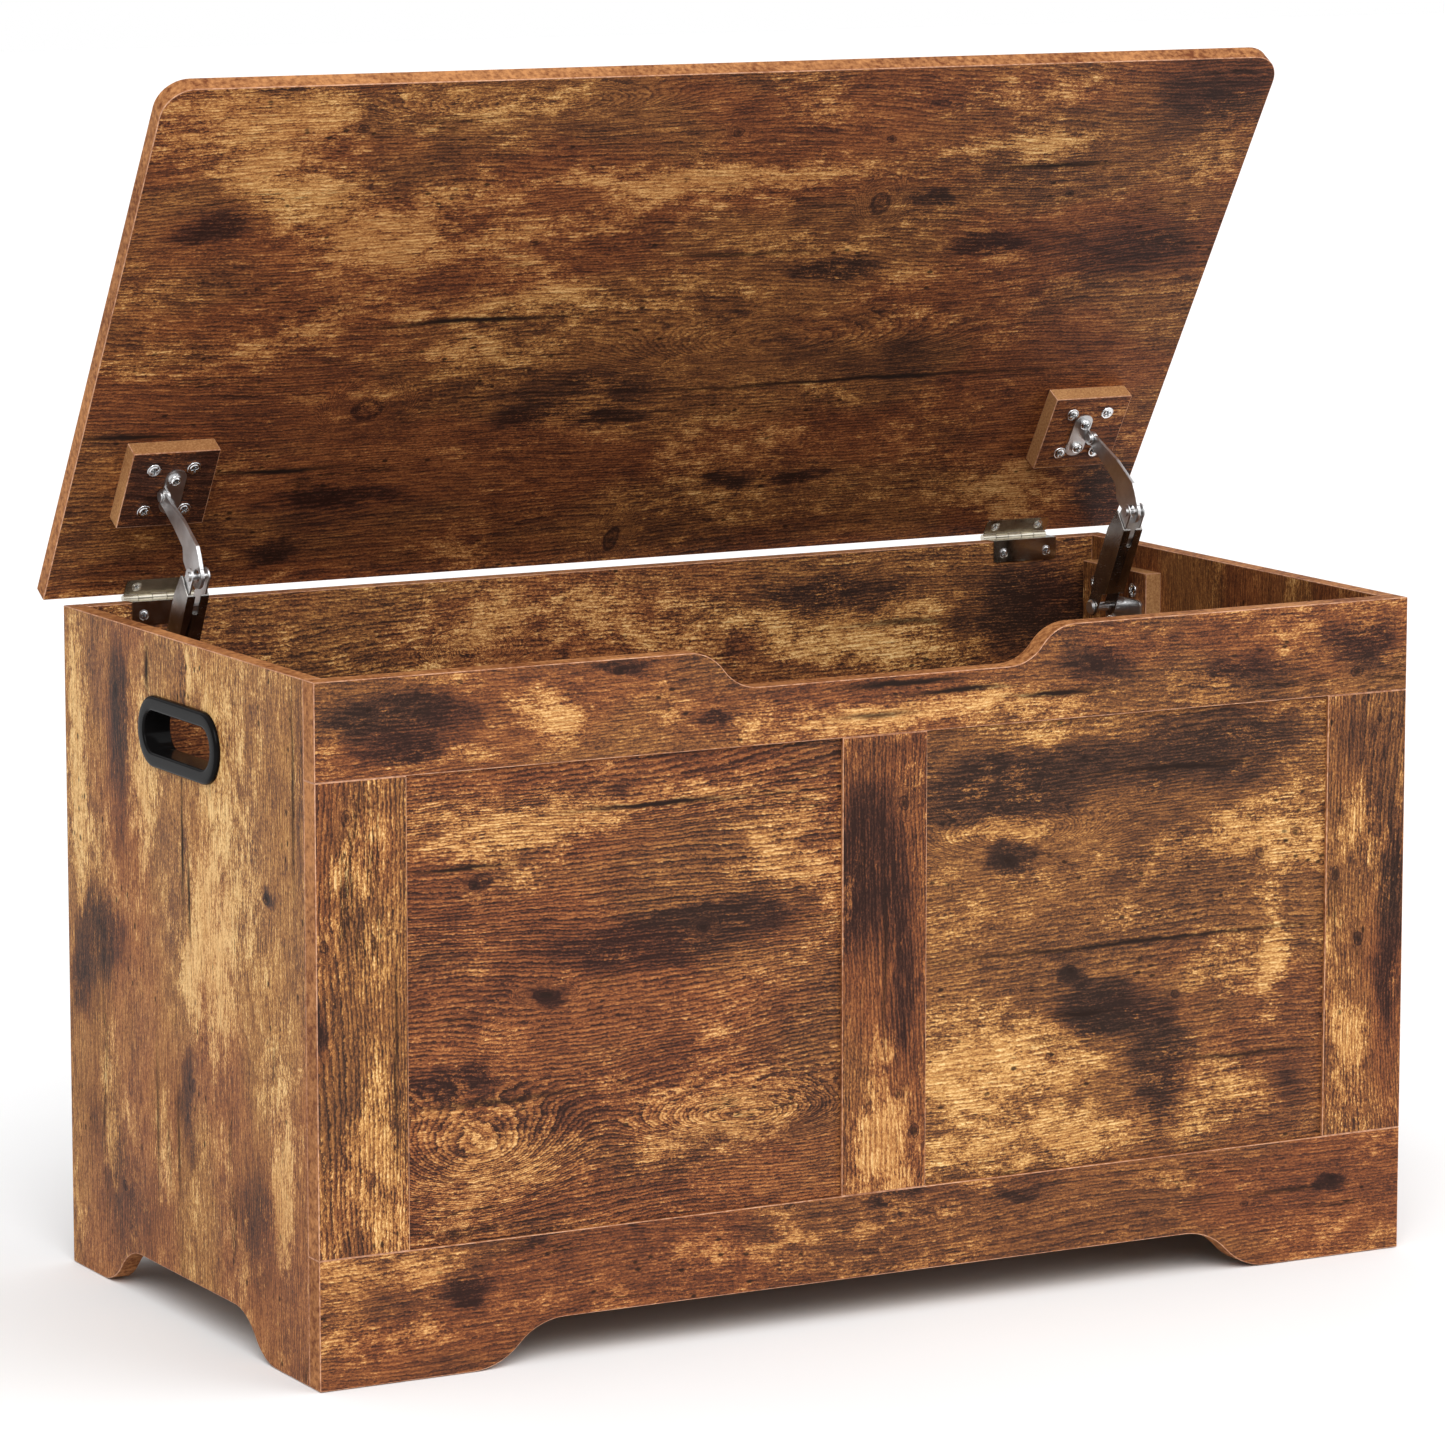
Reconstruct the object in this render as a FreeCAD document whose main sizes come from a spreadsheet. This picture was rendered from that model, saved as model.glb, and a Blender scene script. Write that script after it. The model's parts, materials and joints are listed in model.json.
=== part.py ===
import FreeCAD, Part

import math
import os

import Sketcher

# Wooden toy box with a hinged lid, modelled standing on its feet with the lid held open by its
# two side stays.
#
# Frame: millimetres, +Z up, +X along the box to the right, +Y to the back, where the hinges are.
# The pieces are drawn about the middle of the box body's footprint, and are written out with
# the origin on the floor at the middle of the whole toy box, lid included.
#
# The lid and what is fixed to it are drawn closed and then swung about the hinge pins to the
# rest angle. Each stay has two links, and each link is drawn upright about its own lower pivot
# and then leaned to its rest angle.

V = FreeCAD.Vector
SIDES = {"left": -1, "right": 1}

# name, value in millimetres or degrees, meaning
DIMENSIONS = [
    ("box_width", 774, "outside width of the box body"),
    ("box_depth", 377, "outside depth of the box body"),
    ("box_height", 428, "height of the box body"),
    ("board", 12, "thickness of side, back, bottom and lid boards and of the blocks"),
    ("front_board", 15, "thickness of the front rails and stiles"),
    ("top_rail", 60, "height of the front top rail"),
    ("bottom_rail", 80, "height of the front bottom rail"),
    ("stile", 60, "width of each front stile"),
    ("infill_board", 10, "thickness of the front infill boards"),
    ("infill_setback", 2.5, "distance of the infill behind the front face"),
    ("groove", 5, "depth of the grooves that hold the infill"),
    ("scoop_mouth", 137, "half width of the scoop at the top edge"),
    ("scoop_flat", 89, "half width of the scoop's flat floor"),
    ("scoop_depth", 24, "depth of the scoop"),
    ("gap_height", 27, "height of the gaps between the feet"),
    ("front_gap_mouth", 285, "half width of the front foot gap on the floor"),
    ("front_gap_flat", 223, "half width of the flat top of the front foot gap"),
    ("side_gap_mouth", 132, "half width of the side foot gap on the floor"),
    ("side_gap_flat", 72, "half width of the flat top of the side foot gap"),
    ("back_lift", 27, "height of the back board's lower edge"),
    ("bottom_level", 45, "height of the underside of the bottom board"),
    ("cleat", 15, "section of the square cleats under the bottom board"),
    ("dowel_radius", 4, "radius of the wooden dowels"),
    ("dowel_length", 30, "length of the wooden dowels"),
    ("dowel_offset", 18, "distance of each dowel from its stile's middle"),
    ("cam_radius", 7.5, "radius of the cam locks"),
    ("cam_depth", 9.5, "depth of the cam locks"),
    ("cam_inset", 24, "distance of a cam lock from the joint that it pulls"),
    ("cam_low", 110, "height of the lower cam locks"),
    ("cam_high", 320, "height of the upper cam locks"),
    ("bolt_radius", 3, "radius of the cam bolts"),
    ("bolt_bite", 8, "depth of a cam bolt in the board that it pulls"),
    ("handle_middle", 6, "distance of the handle's middle behind the box's middle"),
    ("handle_level", 367, "height of the handle's middle"),
    ("handle_length", 118, "length of the handle's rim"),
    ("handle_width", 45, "height of the handle's rim"),
    ("grip_length", 100, "length of the handle's opening"),
    ("grip_width", 26, "height of the handle's opening"),
    ("handle_wall", 2, "thickness of the handle's tunnel wall"),
    ("handle_rim", 3.5, "height of the handle's rim over the board"),
    ("rim_round", 2, "rounding of the handle's rim"),
    ("lid_length", 800, "length of the lid"),
    ("lid_overhang", 15, "distance of the lid's front edge in front of the box"),
    ("lid_corner", 20, "radius of the lid's front corners"),
    ("lid_gap", 2, "gap between the closed lid and the box"),
    ("rest_angle", 58.4, "angle of the open lid from closed, in degrees"),
    ("hinge_middle", 320, "distance of each hinge's middle from the box's middle"),
    ("hinge_length", 50, "length of each hinge"),
    ("leaf", 0.85, "thickness of the hinge leaves"),
    ("leaf_corner", 3, "corner radius of the hinge leaves"),
    ("flap_height", 14.5, "height of the box leaf's flap on the back board"),
    ("barrel_radius", 2.4, "outer radius of the hinge knuckles"),
    ("knuckle_gap", 0.3, "gap between neighbouring knuckles"),
    ("hinge_pin", 1.25, "radius of the hinge pins"),
    ("pivot_play", 0.05, "radial clearance of a running pivot"),
    ("pin_setback", 2.6, "distance of the hinge pins behind the back board"),
    ("hinge_screw", 17, "distance of a hinge screw from its hinge's middle"),
    ("block_middle", 338.25, "distance of each lid block's middle from the box's middle"),
    ("block_width", 59.5, "width of the lid blocks"),
    ("block_depth", 58.5, "depth of the lid blocks"),
    ("block_start", 65, "distance of the lid blocks from the lid's rear edge"),
    ("side_block_front", 88, "front edge of the side blocks"),
    ("side_block_depth", 81, "depth of the side blocks"),
    ("side_block_height", 66, "height of the side blocks"),
    ("side_block_top", 412, "height of the side blocks' top edge"),
    ("block_screw", 16, "inset of the lid block screws from the block's edges, along X"),
    ("stay_middle", 343.8, "distance of each stay's middle plane from the box's middle"),
    ("base_pivot_back", 114, "base pivot's distance behind the box's middle"),
    ("base_pivot_level", 388, "base pivot's height"),
    ("casing_lean", 26.5, "forward lean of the stay casing at rest, in degrees"),
    ("casing_width", 15, "outside width of the stay casing"),
    ("sheet_metal", 1.2, "thickness of the stay's folded sheet metal"),
    ("casing_front", 10.5, "casing's front face in front of the base pivot"),
    ("casing_rear", 8.1, "casing's open rear behind the base pivot"),
    ("casing_bottom", 17.1, "casing's bottom above the base pivot"),
    ("casing_top", 68.6, "top of the casing's front face above the base pivot"),
    ("casing_crown", 76.6, "top of the casing's cheeks above the base pivot"),
    ("casing_shoulder", 59, "shoulder of the casing's rear edge above the base pivot"),
    ("tongue_radius", 6, "half width of the casing's two tongues"),
    ("elbow_forward", 4.4, "elbow pin in front of the base pivot, square to the casing"),
    ("elbow_rise", 79.6, "elbow pin above the base pivot, along the casing"),
    ("elbow_pin", 2, "radius of the elbow pin"),
    ("elbow_play", 2.4, "radial clearance of the arm's open elbow eye"),
    ("ear_radius", 5.5, "radius of the inner channel's ears round the elbow pin"),
    ("lid_pivot_inset", 92.67, "distance of the stays' lid pivots from the lid's rear edge"),
    ("lid_pivot_drop", 17.3, "distance of the stays' lid pivots from the lid's inner face"),
    ("arm_thickness", 2.5, "thickness of the arm"),
    ("arm_eye", 4.7, "radius of the arm's end at the lid pivot"),
    ("arm_heel", 8, "radius of the arm's end at the elbow"),
    ("arm_belly", 12.3, "front edge of the arm's middle in front of its pivot line"),
    ("arm_knee", 15, "front edge of the arm's bend in front of its pivot line"),
    ("arm_lobe", 8.2, "reach of the arm's cam lobe behind its pivot line"),
    ("lid_pivot", 2, "radius of the rivet through bracket and arm"),
    ("flange", 1.4, "thickness of the lid bracket"),
    ("side_play", 0.3, "gap between moving neighbours, along X"),
    ("base_pin", 3, "radius of the stay's base pin"),
    ("base_plate", 2, "thickness of the stay's base plate"),
    ("base_half", 22, "half length of the base plate"),
    ("base_foot", 21, "bottom edge of the base plate below the base pivot"),
    ("base_brow", 5, "top edge of the base plate above the base pivot"),
    ("base_corner", 4, "corner radius of the base plate"),
    ("pin_head", 5, "radius of the base pin's head"),
    ("pin_head_face", 4, "radius of the flat on the base pin's head"),
    ("pin_head_rim", 0.8, "height of the base pin's head below its chamfer"),
    ("pin_head_height", 1.8, "height of the base pin's head"),
    ("pin_collar", 4.8, "radius of the collar behind the casing"),
    ("pin_root", 2.5, "radius of the base pin in its plate"),
    ("bracket_width", 14, "width of the lid bracket's plate"),
    ("bracket_length", 34, "length of the lid bracket's plate"),
    ("bracket_corner", 6.5, "corner radius of the lid bracket's plate"),
    ("bracket_ear", 4.5, "radius of the lid bracket's ear"),
    ("rivet_head", 3.2, "radius of the lid rivet's heads"),
    ("rivet_crown", 1, "height of the rivet and elbow pin heads"),
    ("elbow_head", 3, "radius of the elbow pin's heads"),
    ("arm_narrow", 0.54, "height of the arm's belly as a share of the arm's length"),
    ("arm_wide", 0.65, "height of the arm's straight back as a share of the arm's length"),
    ("arm_back", 1.5, "arm's straight rear edge behind its pivot line"),
    ("arm_lobe_low", 14, "start of the arm's cam lobe above the elbow"),
    ("arm_lobe_high", 20, "end of the arm's cam lobe above the elbow"),
    ("arm_waist", 26, "height of the arm's waist above the elbow"),
    ("arm_bend", 2.5, "rounding of the arm's corners"),
    ("casing_corner", 1.5, "rounding of the casing's corners"),
    ("casing_notch", 3, "chamfer where the casing narrows to its tongues"),
    ("ridge_width", 2.4, "width of the ridge on the casing's front"),
    ("ridge_proud", 0.6, "height of the ridge on the casing's front"),
    ("ridge_length", 32, "length of the ridge on the casing's front"),
    ("ridge_start", 6, "distance of the ridge from the casing's bottom"),
    ("slot_width", 3.6, "width of the slot in the casing's front"),
    ("slot_length", 13, "length of the slot in the casing's front"),
    ("tongue_depth", 4, "rear face of the open space between the tongues"),
    ("channel_play", 0.2, "gap between the casing and the channel in it"),
    ("channel_low", 40, "lower end of the inner channel above the base pivot"),
    ("channel_drop", 8, "distance of the channel's front top edge below the casing's"),
    ("channel_inset", 2, "distance of the channel's rear edge inside the casing's"),
    ("buffer_forward", 2, "distance of the buffer in front of the base pivot"),
    ("buffer_stem", 1.8, "radius of the buffer's stem"),
    ("buffer_level", 42, "underside of the buffer's head above the base pivot"),
    ("buffer_front", 7, "front face of the buffer's head in front of the base pivot"),
    ("buffer_depth", 11, "depth of the buffer's head"),
    ("buffer_height", 12, "height of the buffer's head"),
    ("disc_radius", 4.4, "radius of the disc springs"),
    ("disc_bore", 1.9, "radius of the hole in the disc springs"),
    ("disc_gap", 0.4, "gap between neighbouring disc springs"),
    ("past", 90, "length by which a cutting solid runs past the stay"),
    ("block_screw_edge", 13, "inset of the block screws from the blocks' edges, square to X"),
    ("side_screw_low", 56, "distance of the lower side block screws from the block's top"),
    ("side_screw_spread", 24.5, "distance of the side block screws from the block's middle"),
    ("flap_screw_drop", 8, "distance of the box leaf's screws below the back board's top"),
    ("plate_screw_inset", 6.5, "distance of the lid leaf's screws from the lid's rear edge"),
    ("bracket_screw_inset", 6, "distance of the bracket screws from the bracket's flange"),
    ("bracket_screw_spread", 10, "distance of the bracket screws from the bracket's middle"),
    ("base_screw_spread", 15, "distance of the base screws from the base pivot, along Y"),
    ("base_screw_drop", 12, "distance of the base screws below the base pivot"),
    ("cleat_screw_spread", 110, "distance of the cleat screws from the box's middle"),
    ("frame_back", 6.155, "distance of the frame's origin behind the box body's middle"),
]
KNUCKLES = 5
DISCS = 10

doc = FreeCAD.newDocument("toy_box")
sheet = doc.addObject("Spreadsheet::Sheet", "dims")
for row, (alias, size, meaning) in enumerate(DIMENSIONS, start=1):
    sheet.set(f"A{row}", str(size))
    sheet.setAlias(f"A{row}", alias)
    sheet.set(f"B{row}", meaning)
doc.recompute()

nodes = {}


def size_of(expression):
    """The value that an expression has now, in millimetres or degrees."""
    return float(sheet.evalExpression(expression))


def node(name, item):
    """Name a finished sub-part."""
    item.Label = name
    nodes[name] = item
    return item


def place(item, x="0", y="0", z="0"):
    """Bind an object's position to three expressions."""
    for axis, expression in zip("xyz", (x, y, z)):
        item.setExpression(f"Placement.Base.{axis}", expression)
    return item


def block(name, low, size):
    """A box from its lowest corner and its three sizes."""
    item = doc.addObject("Part::Box", name)
    for side, expression in zip(("Length", "Width", "Height"), size):
        item.setExpression(side, expression)
    return place(item, *low)


def rod(name, start, radius, length, direction):
    """A cylinder from the middle of its start face along a direction."""
    item = doc.addObject("Part::Cylinder", name)
    item.Placement = FreeCAD.Placement(V(), FreeCAD.Rotation(V(0, 0, 1), V(*direction)))
    item.setExpression("Radius", radius)
    item.setExpression("Height", length)
    return place(item, *start)


def fuse(name, *pieces):
    item = doc.addObject("Part::MultiFuse", name)
    item.Shapes = list(pieces)
    return item


def group(name, *pieces):
    """Separate solids that share one node."""
    item = doc.addObject("Part::Compound", name)
    item.Links = list(pieces)
    return item


def cut(name, base, *tools):
    item = doc.addObject("Part::Cut", name)
    item.Base = base
    item.Tool = tools[0] if len(tools) == 1 else group(f"{name}_tools", *tools)
    return item


def lean(item, degrees, x, y, z):
    """Turn an object about X, towards -Y for positive degrees, and carry its origin to a pivot."""
    item.Placement = FreeCAD.Placement(V(), FreeCAD.Rotation(V(1, 0, 0), 1))
    item.setExpression("Placement.Rotation.Angle", degrees)
    return place(item, x, y, z)


COSINE = "cos(dims.rest_angle)"
SINE = "sin(dims.rest_angle)"
PIN_BACK = "(dims.box_depth / 2 + dims.pin_setback)"
PIN_LEVEL = "(dims.box_height + dims.lid_gap / 2)"
LID_FACE = "(dims.box_height + dims.lid_gap)"
BLOCK_FACE = "(dims.box_height + dims.lid_gap - dims.board)"


def swing_open(item):
    """Swing a lid piece, drawn closed, about the hinge pins to the rest angle."""
    item.Placement = FreeCAD.Placement(V(), FreeCAD.Rotation(V(-1, 0, 0), 1))
    item.setExpression("Placement.Rotation.Angle", "dims.rest_angle")
    back = f"{PIN_BACK} - {PIN_BACK} * {COSINE} - {PIN_LEVEL} * {SINE}"
    level = f"{PIN_LEVEL} + {PIN_BACK} * {SINE} - {PIN_LEVEL} * {COSINE}"
    return place(item, "0", back, level)


def sketch_on(body, role):
    """An empty sketch on one of a body's own origin planes."""
    sketch = body.newObject("Sketcher::SketchObject", f"{body.Name}_sketch")
    plane = next(item for item in body.Origin.OriginFeatures if item.Role == role)
    sketch.AttachmentSupport = (plane, "")
    sketch.MapMode = "FlatFace"
    return sketch


def pin_point(sketch, geometry, point, x, y):
    """Fix a sketch point at two expressions from the sketch's origin."""
    for kind, expression in (("DistanceX", x), ("DistanceY", y)):
        rule = Sketcher.Constraint(kind, -1, 1, geometry, point, size_of(expression))
        number = sketch.addConstraint(rule)
        sketch.setExpression(f"Constraints[{number}]", expression)


def pad(body, sketch, thickness):
    """Pad a sketch by half its thickness to each side."""
    item = body.newObject("PartDesign::Pad", f"{body.Name}_pad")
    item.Profile = sketch
    item.SideType = "Symmetric"
    item.setExpression("Length", thickness)
    doc.recompute()
    return item


def round_corners(body, feature, corners, radius):
    """Round the straight edges of a pad that pass through the given sketch corners."""
    axes = {"XY_Plane": (0, 1), "XZ_Plane": (0, 2), "YZ_Plane": (1, 2)}
    across = axes[feature.Profile[0].AttachmentSupport[0][0].Role]
    wanted = [(size_of(x), size_of(y)) for x, y in corners]
    names = []
    for number, edge in enumerate(feature.Shape.Edges, start=1):
        ends = [tuple(vertex.Point[axis] for axis in across) for vertex in edge.Vertexes]
        if any(all(math.dist(end, corner) < 0.01 for end in ends) for corner in wanted):
            names.append(f"Edge{number}")
    item = body.newObject("PartDesign::Fillet", f"{body.Name}_rounding")
    item.Base = (feature, names)
    item.setExpression("Radius", radius)
    return item


def outline(name, role, corners, thickness, rounded=(), radius="1"):
    """A plate from a closed outline of corner points, padded evenly to both sides."""
    body = doc.addObject("PartDesign::Body", name)
    sketch = sketch_on(body, role)
    points = [V(size_of(x), size_of(y), 0) for x, y in corners]
    for number, point in enumerate(points):
        sketch.addGeometry(Part.LineSegment(point, points[(number + 1) % len(points)]))
    for number in range(len(points)):
        following = (number + 1) % len(points)
        sketch.addConstraint(Sketcher.Constraint("Coincident", number, 2, following, 1))
    for number, (x, y) in enumerate(corners):
        pin_point(sketch, number, 1, x, y)
    feature = pad(body, sketch, thickness)
    if rounded:
        round_corners(body, feature, [corners[number] for number in rounded], radius)
    return body


def stadium(name, length, width, thickness):
    """A plate with two straight long edges and half-round ends, in the YZ plane."""
    body = doc.addObject("PartDesign::Body", name)
    sketch = sketch_on(body, "YZ_Plane")
    reach = f"({length} - {width}) / 2"
    half = size_of(reach)
    radius = size_of(f"{width} / 2")
    quarter = math.pi / 2
    sketch.addGeometry(Part.LineSegment(V(half, radius, 0), V(-half, radius, 0)))
    left_end = Part.Circle(V(-half, 0, 0), V(0, 0, 1), radius)
    sketch.addGeometry(Part.ArcOfCircle(left_end, quarter, 3 * quarter))
    sketch.addGeometry(Part.LineSegment(V(-half, -radius, 0), V(half, -radius, 0)))
    right_end = Part.Circle(V(half, 0, 0), V(0, 0, 1), radius)
    sketch.addGeometry(Part.ArcOfCircle(right_end, -quarter, quarter))
    for first, second in ((0, 1), (1, 2), (2, 3), (3, 0)):
        sketch.addConstraint(Sketcher.Constraint("Tangent", first, 2, second, 1))
    sketch.addConstraint(Sketcher.Constraint("Equal", 1, 3))
    pin_point(sketch, 1, 3, f"-{reach}", "0")
    pin_point(sketch, 3, 3, reach, "0")
    number = sketch.addConstraint(Sketcher.Constraint("Radius", 1, radius))
    sketch.setExpression(f"Constraints[{number}]", f"{width} / 2")
    pad(body, sketch, thickness)
    return body


def notched_board(name, role, width, height, middle, mouth, flat, depth, at_top, thickness):
    """A board drawn from its lower left corner, with an S-ended notch in its top or low edge."""
    body = doc.addObject("PartDesign::Body", name)
    sketch = sketch_on(body, role)
    edge = height if at_top else "0"
    floor = f"{height} - {depth}" if at_top else depth
    far = "0" if at_top else height
    corners = [
        ("0", edge),
        (f"{middle} - {mouth}", edge),
        (f"{middle} - {flat}", floor),
        (f"{middle} + {flat}", floor),
        (f"{middle} + {mouth}", edge),
        (width, edge),
        (width, far),
        ("0", far),
    ]
    points = [V(size_of(x), size_of(y), 0) for x, y in corners]
    run = size_of(f"{mouth} - {flat}")
    rise = size_of(depth)
    turn = 2 * math.atan(rise / run)
    radius = run / (2 * math.sin(turn))
    down = -1 if at_top else 1

    def bend(start, end, centre):
        """The arc from start to end about centre, and True if it runs from end to start."""
        first = math.atan2(start.y - centre.y, start.x - centre.x)
        last = math.atan2(end.y - centre.y, end.x - centre.x)
        backwards = math.sin(last - first) < 0
        if backwards:
            first, last = last, first
        return Part.ArcOfCircle(Part.Circle(centre, V(0, 0, 1), radius), first, last), backwards

    pieces = [(Part.LineSegment(points[0], points[1]), False)]
    for start, end, toward in ((points[1], points[2], 1), (points[3], points[4], -1)):
        middle_point = (start + end) / 2
        pieces.append(bend(start, middle_point, start + V(0, toward * down * radius, 0)))
        pieces.append(bend(middle_point, end, end - V(0, toward * down * radius, 0)))
        if toward == 1:
            pieces.append((Part.LineSegment(points[2], points[3]), False))
    ring = points[4:] + points[:1]
    pieces += [(Part.LineSegment(a, b), False) for a, b in zip(ring, ring[1:])]
    for piece, _ in pieces:
        sketch.addGeometry(piece)
    smooth_until = 6
    for number, (_, backwards) in enumerate(pieces):
        following = (number + 1) % len(pieces)
        kind = "Tangent" if number < smooth_until else "Coincident"
        ends = (1 if backwards else 2, 2 if pieces[following][1] else 1)
        sketch.addConstraint(Sketcher.Constraint(kind, number, ends[0], following, ends[1]))
    sketch.addConstraint(Sketcher.Constraint("Equal", 1, 2))
    sketch.addConstraint(Sketcher.Constraint("Equal", 4, 5))
    pin_point(sketch, 0, 1, *corners[0])
    pin_point(sketch, 0, 2, *corners[1])
    pin_point(sketch, 3, 1, *corners[2])
    pin_point(sketch, 3, 2, *corners[3])
    pin_point(sketch, 6, 1, *corners[4])
    for number, corner in zip((6, 7, 8), corners[5:]):
        pin_point(sketch, number, 2, *corner)
    pad(body, sketch, thickness)
    return body


def turned(name, profile):
    """A turned solid about Z from a profile of radius and height."""
    body = doc.addObject("PartDesign::Body", name)
    sketch = sketch_on(body, "XZ_Plane")
    points = [V(size_of(x), size_of(y), 0) for x, y in profile]
    for number, point in enumerate(points):
        sketch.addGeometry(Part.LineSegment(point, points[(number + 1) % len(points)]))
    for number in range(len(points)):
        following = (number + 1) % len(points)
        sketch.addConstraint(Sketcher.Constraint("Coincident", number, 2, following, 1))
    for number, (x, y) in enumerate(profile):
        pin_point(sketch, number, 1, x, y)
    item = body.newObject("PartDesign::Revolution", f"{name}_turning")
    item.Profile = sketch
    item.ReferenceAxis = (sketch, ["V_Axis"])
    item.Angle = 360
    doc.recompute()
    return body


class Screw:
    """A cross-head wood screw, pointing down, with its seat at the origin.

    The head stands rise over the seat and its underside tapers to the shank over sink.
    """

    CROWN = 0.7  # radius of the head's flat top, as a share of the head's
    SHOULDER = 0.35  # height where the head's rounding starts, as a share of its rise
    POINT = 0.2  # radius of the blunt point, as a share of the shank's
    SLOT = 0.22  # width of each arm of the cross, as a share of the head's radius
    RECESS = 0.6  # depth of the cross below half the head's rise, in millimetres

    def __init__(self, name, head, rise, sink, shank, length):
        tip = f"{length} - {shank}"
        profile = [
            ("0", rise),
            (f"{head} * {self.CROWN}", rise),
            (head, f"{rise} * {self.SHOULDER}"),
            (head, "0"),
            (shank, f"-{sink} - 0.01"),
            (shank, f"-({tip})"),
            (f"{shank} * {self.POINT}", f"-{length}"),
            ("0", f"-{length}"),
        ]
        self.plain = turned(f"{name}_blank", profile)
        arms = []
        for number, (long_x, long_y) in enumerate(((1, self.SLOT), (self.SLOT, 1))):
            width = f"{head} * {long_x}"
            depth = f"{head} * {long_y}"
            recess = f"{rise} / 2 + {self.RECESS}"
            low = (f"-{width} / 2", f"-{depth} / 2", f"{rise} - {recess}")
            arms.append(block(f"{name}_recess_{number}", low, (width, depth, f"{recess} + 1")))
        self.whole = cut(name, self.plain, fuse(f"{name}_cross", *arms))

    def copies(self, name, spots):
        """The screw node and the solids that clear its holes, one copy for each spot.

        Each spot is a seat point and the direction out of the surface.
        """
        doc.recompute()
        made = []
        for suffix, source in (("", self.whole), ("_holes", self.plain)):
            shapes = []
            for seat, outward in spots:
                shape = source.Shape.copy()
                turn = FreeCAD.Rotation(V(0, 0, 1), V(*outward))
                position = V(*(size_of(part) for part in seat))
                shape.Placement = FreeCAD.Placement(position, turn)
                shapes.append(shape)
            item = doc.addObject("Part::Feature", name + suffix)
            item.Shape = Part.makeCompound(shapes)
            made.append(item)
        return made


hinge_screw = Screw("hinge_screw", head="3.4", rise="0.02", sink="2", shank="1.5", length="11")
block_screw = Screw("block_screw", head="4.6", rise="1.8", sink="0", shank="1.9", length="20")
bracket_screw = Screw("bracket_screw", head="4", rise="2.6", sink="0", shank="1.7", length="11")


def carcass():
    """Side, back and bottom boards with their cleats, cam locks and dowels."""
    inner_width = "(dims.box_width - 2 * dims.board)"
    front_line = "(-dims.box_depth / 2 + dims.front_board)"
    side_depth = "(dims.box_depth - dims.front_board)"
    inner_depth = "(dims.box_depth - dims.front_board - dims.board)"
    middle_x = "(dims.box_width / 2 - dims.board / 2)"
    levels = ("dims.cam_low", "dims.cam_high")

    bolts = []
    cams = []
    for side in SIDES.values():
        for level in levels:
            tag = f"{len(bolts)}"
            length = "dims.cam_inset + dims.bolt_bite"
            start = (f"{side} * {middle_x}", f"{front_line} - dims.bolt_bite", level)
            bolts.append(rod(f"front_bolt_{tag}", start, "dims.bolt_radius", length, (0, 1, 0)))
            seat = (f"{side} * (dims.box_width / 2 - dims.board)",
                    f"{front_line} + dims.cam_inset", level)
            cams.append(rod(f"front_cam_{tag}", seat, "dims.cam_radius", "dims.cam_depth",
                            (side, 0, 0)))
            joint = "(dims.box_width / 2 - dims.board)"
            start = (f"{side} * ({joint} + dims.bolt_bite)",
                     "dims.box_depth / 2 - dims.board / 2", level)
            bolts.append(rod(f"back_bolt_{tag}", start, "dims.bolt_radius", length,
                             (-side, 0, 0)))
            seat = (f"{side} * ({joint} - dims.cam_inset)",
                    "dims.box_depth / 2 - dims.board", level)
            cams.append(rod(f"back_cam_{tag}", seat, "dims.cam_radius", "dims.cam_depth",
                            (0, 1, 0)))
    cam_bolts = node("cam_bolts", group("cam_bolt_group", *bolts))
    cam_blanks = group("cam_blanks", *cams)
    node("cam_locks", cut("cam_lock_cut", cam_blanks, cam_bolts))

    for name, side in SIDES.items():
        board = notched_board(f"{name}_side_blank", "YZ_Plane", side_depth, "dims.box_height",
                              f"{side_depth} / 2", "dims.side_gap_mouth", "dims.side_gap_flat",
                              "dims.gap_height", False, "dims.board")
        place(board, f"{side} * {middle_x}", front_line, "0")
        window = stadium(f"{name}_handle_window", "(dims.grip_length + 2 * dims.handle_wall)",
                         "(dims.grip_width + 2 * dims.handle_wall)", "dims.board + 2")
        place(window, f"{side} * {middle_x}", "dims.handle_middle", "dims.handle_level")
        tools = (window, cam_bolts, cam_blanks, screw_holes["side"], screw_holes["cleat"])
        node(f"{name}_side_panel", cut(f"{name}_side_cut", board, *tools))

    low = (f"-{inner_width} / 2", "dims.box_depth / 2 - dims.board", "dims.back_lift")
    size = (inner_width, "dims.board", "dims.box_height - dims.back_lift")
    back = block("back_blank", low, size)
    node("back_panel", cut("back_cut", back, cam_bolts, cam_blanks, screw_holes["back"]))

    low = (f"-{inner_width} / 2", front_line, "dims.bottom_level")
    node("bottom_panel", block("bottom_board", low, (inner_width, inner_depth, "dims.board")))

    cleat_level = "dims.bottom_level - dims.cleat"
    long_cleat = (inner_width, "dims.cleat", "dims.cleat")
    rear_line = f"{front_line} + {inner_depth} - dims.cleat"
    short_cleat = ("dims.cleat", f"{inner_depth} - 2 * dims.cleat", "dims.cleat")
    cleats = [block("front_cleat", (f"-{inner_width} / 2", front_line, cleat_level), long_cleat),
              block("back_cleat", (f"-{inner_width} / 2", rear_line, cleat_level), long_cleat)]
    for name, side in SIDES.items():
        edge = f"{side} * {inner_width} / 2 - {1 if side > 0 else 0} * dims.cleat"
        low = (edge, f"{front_line} + dims.cleat", cleat_level)
        cleats.append(block(f"{name}_cleat", low, short_cleat))
    cleat_group = group("cleat_group", *cleats)
    node("bottom_cleats", cut("cleat_cut", cleat_group, screw_holes["cleat"]))


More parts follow.
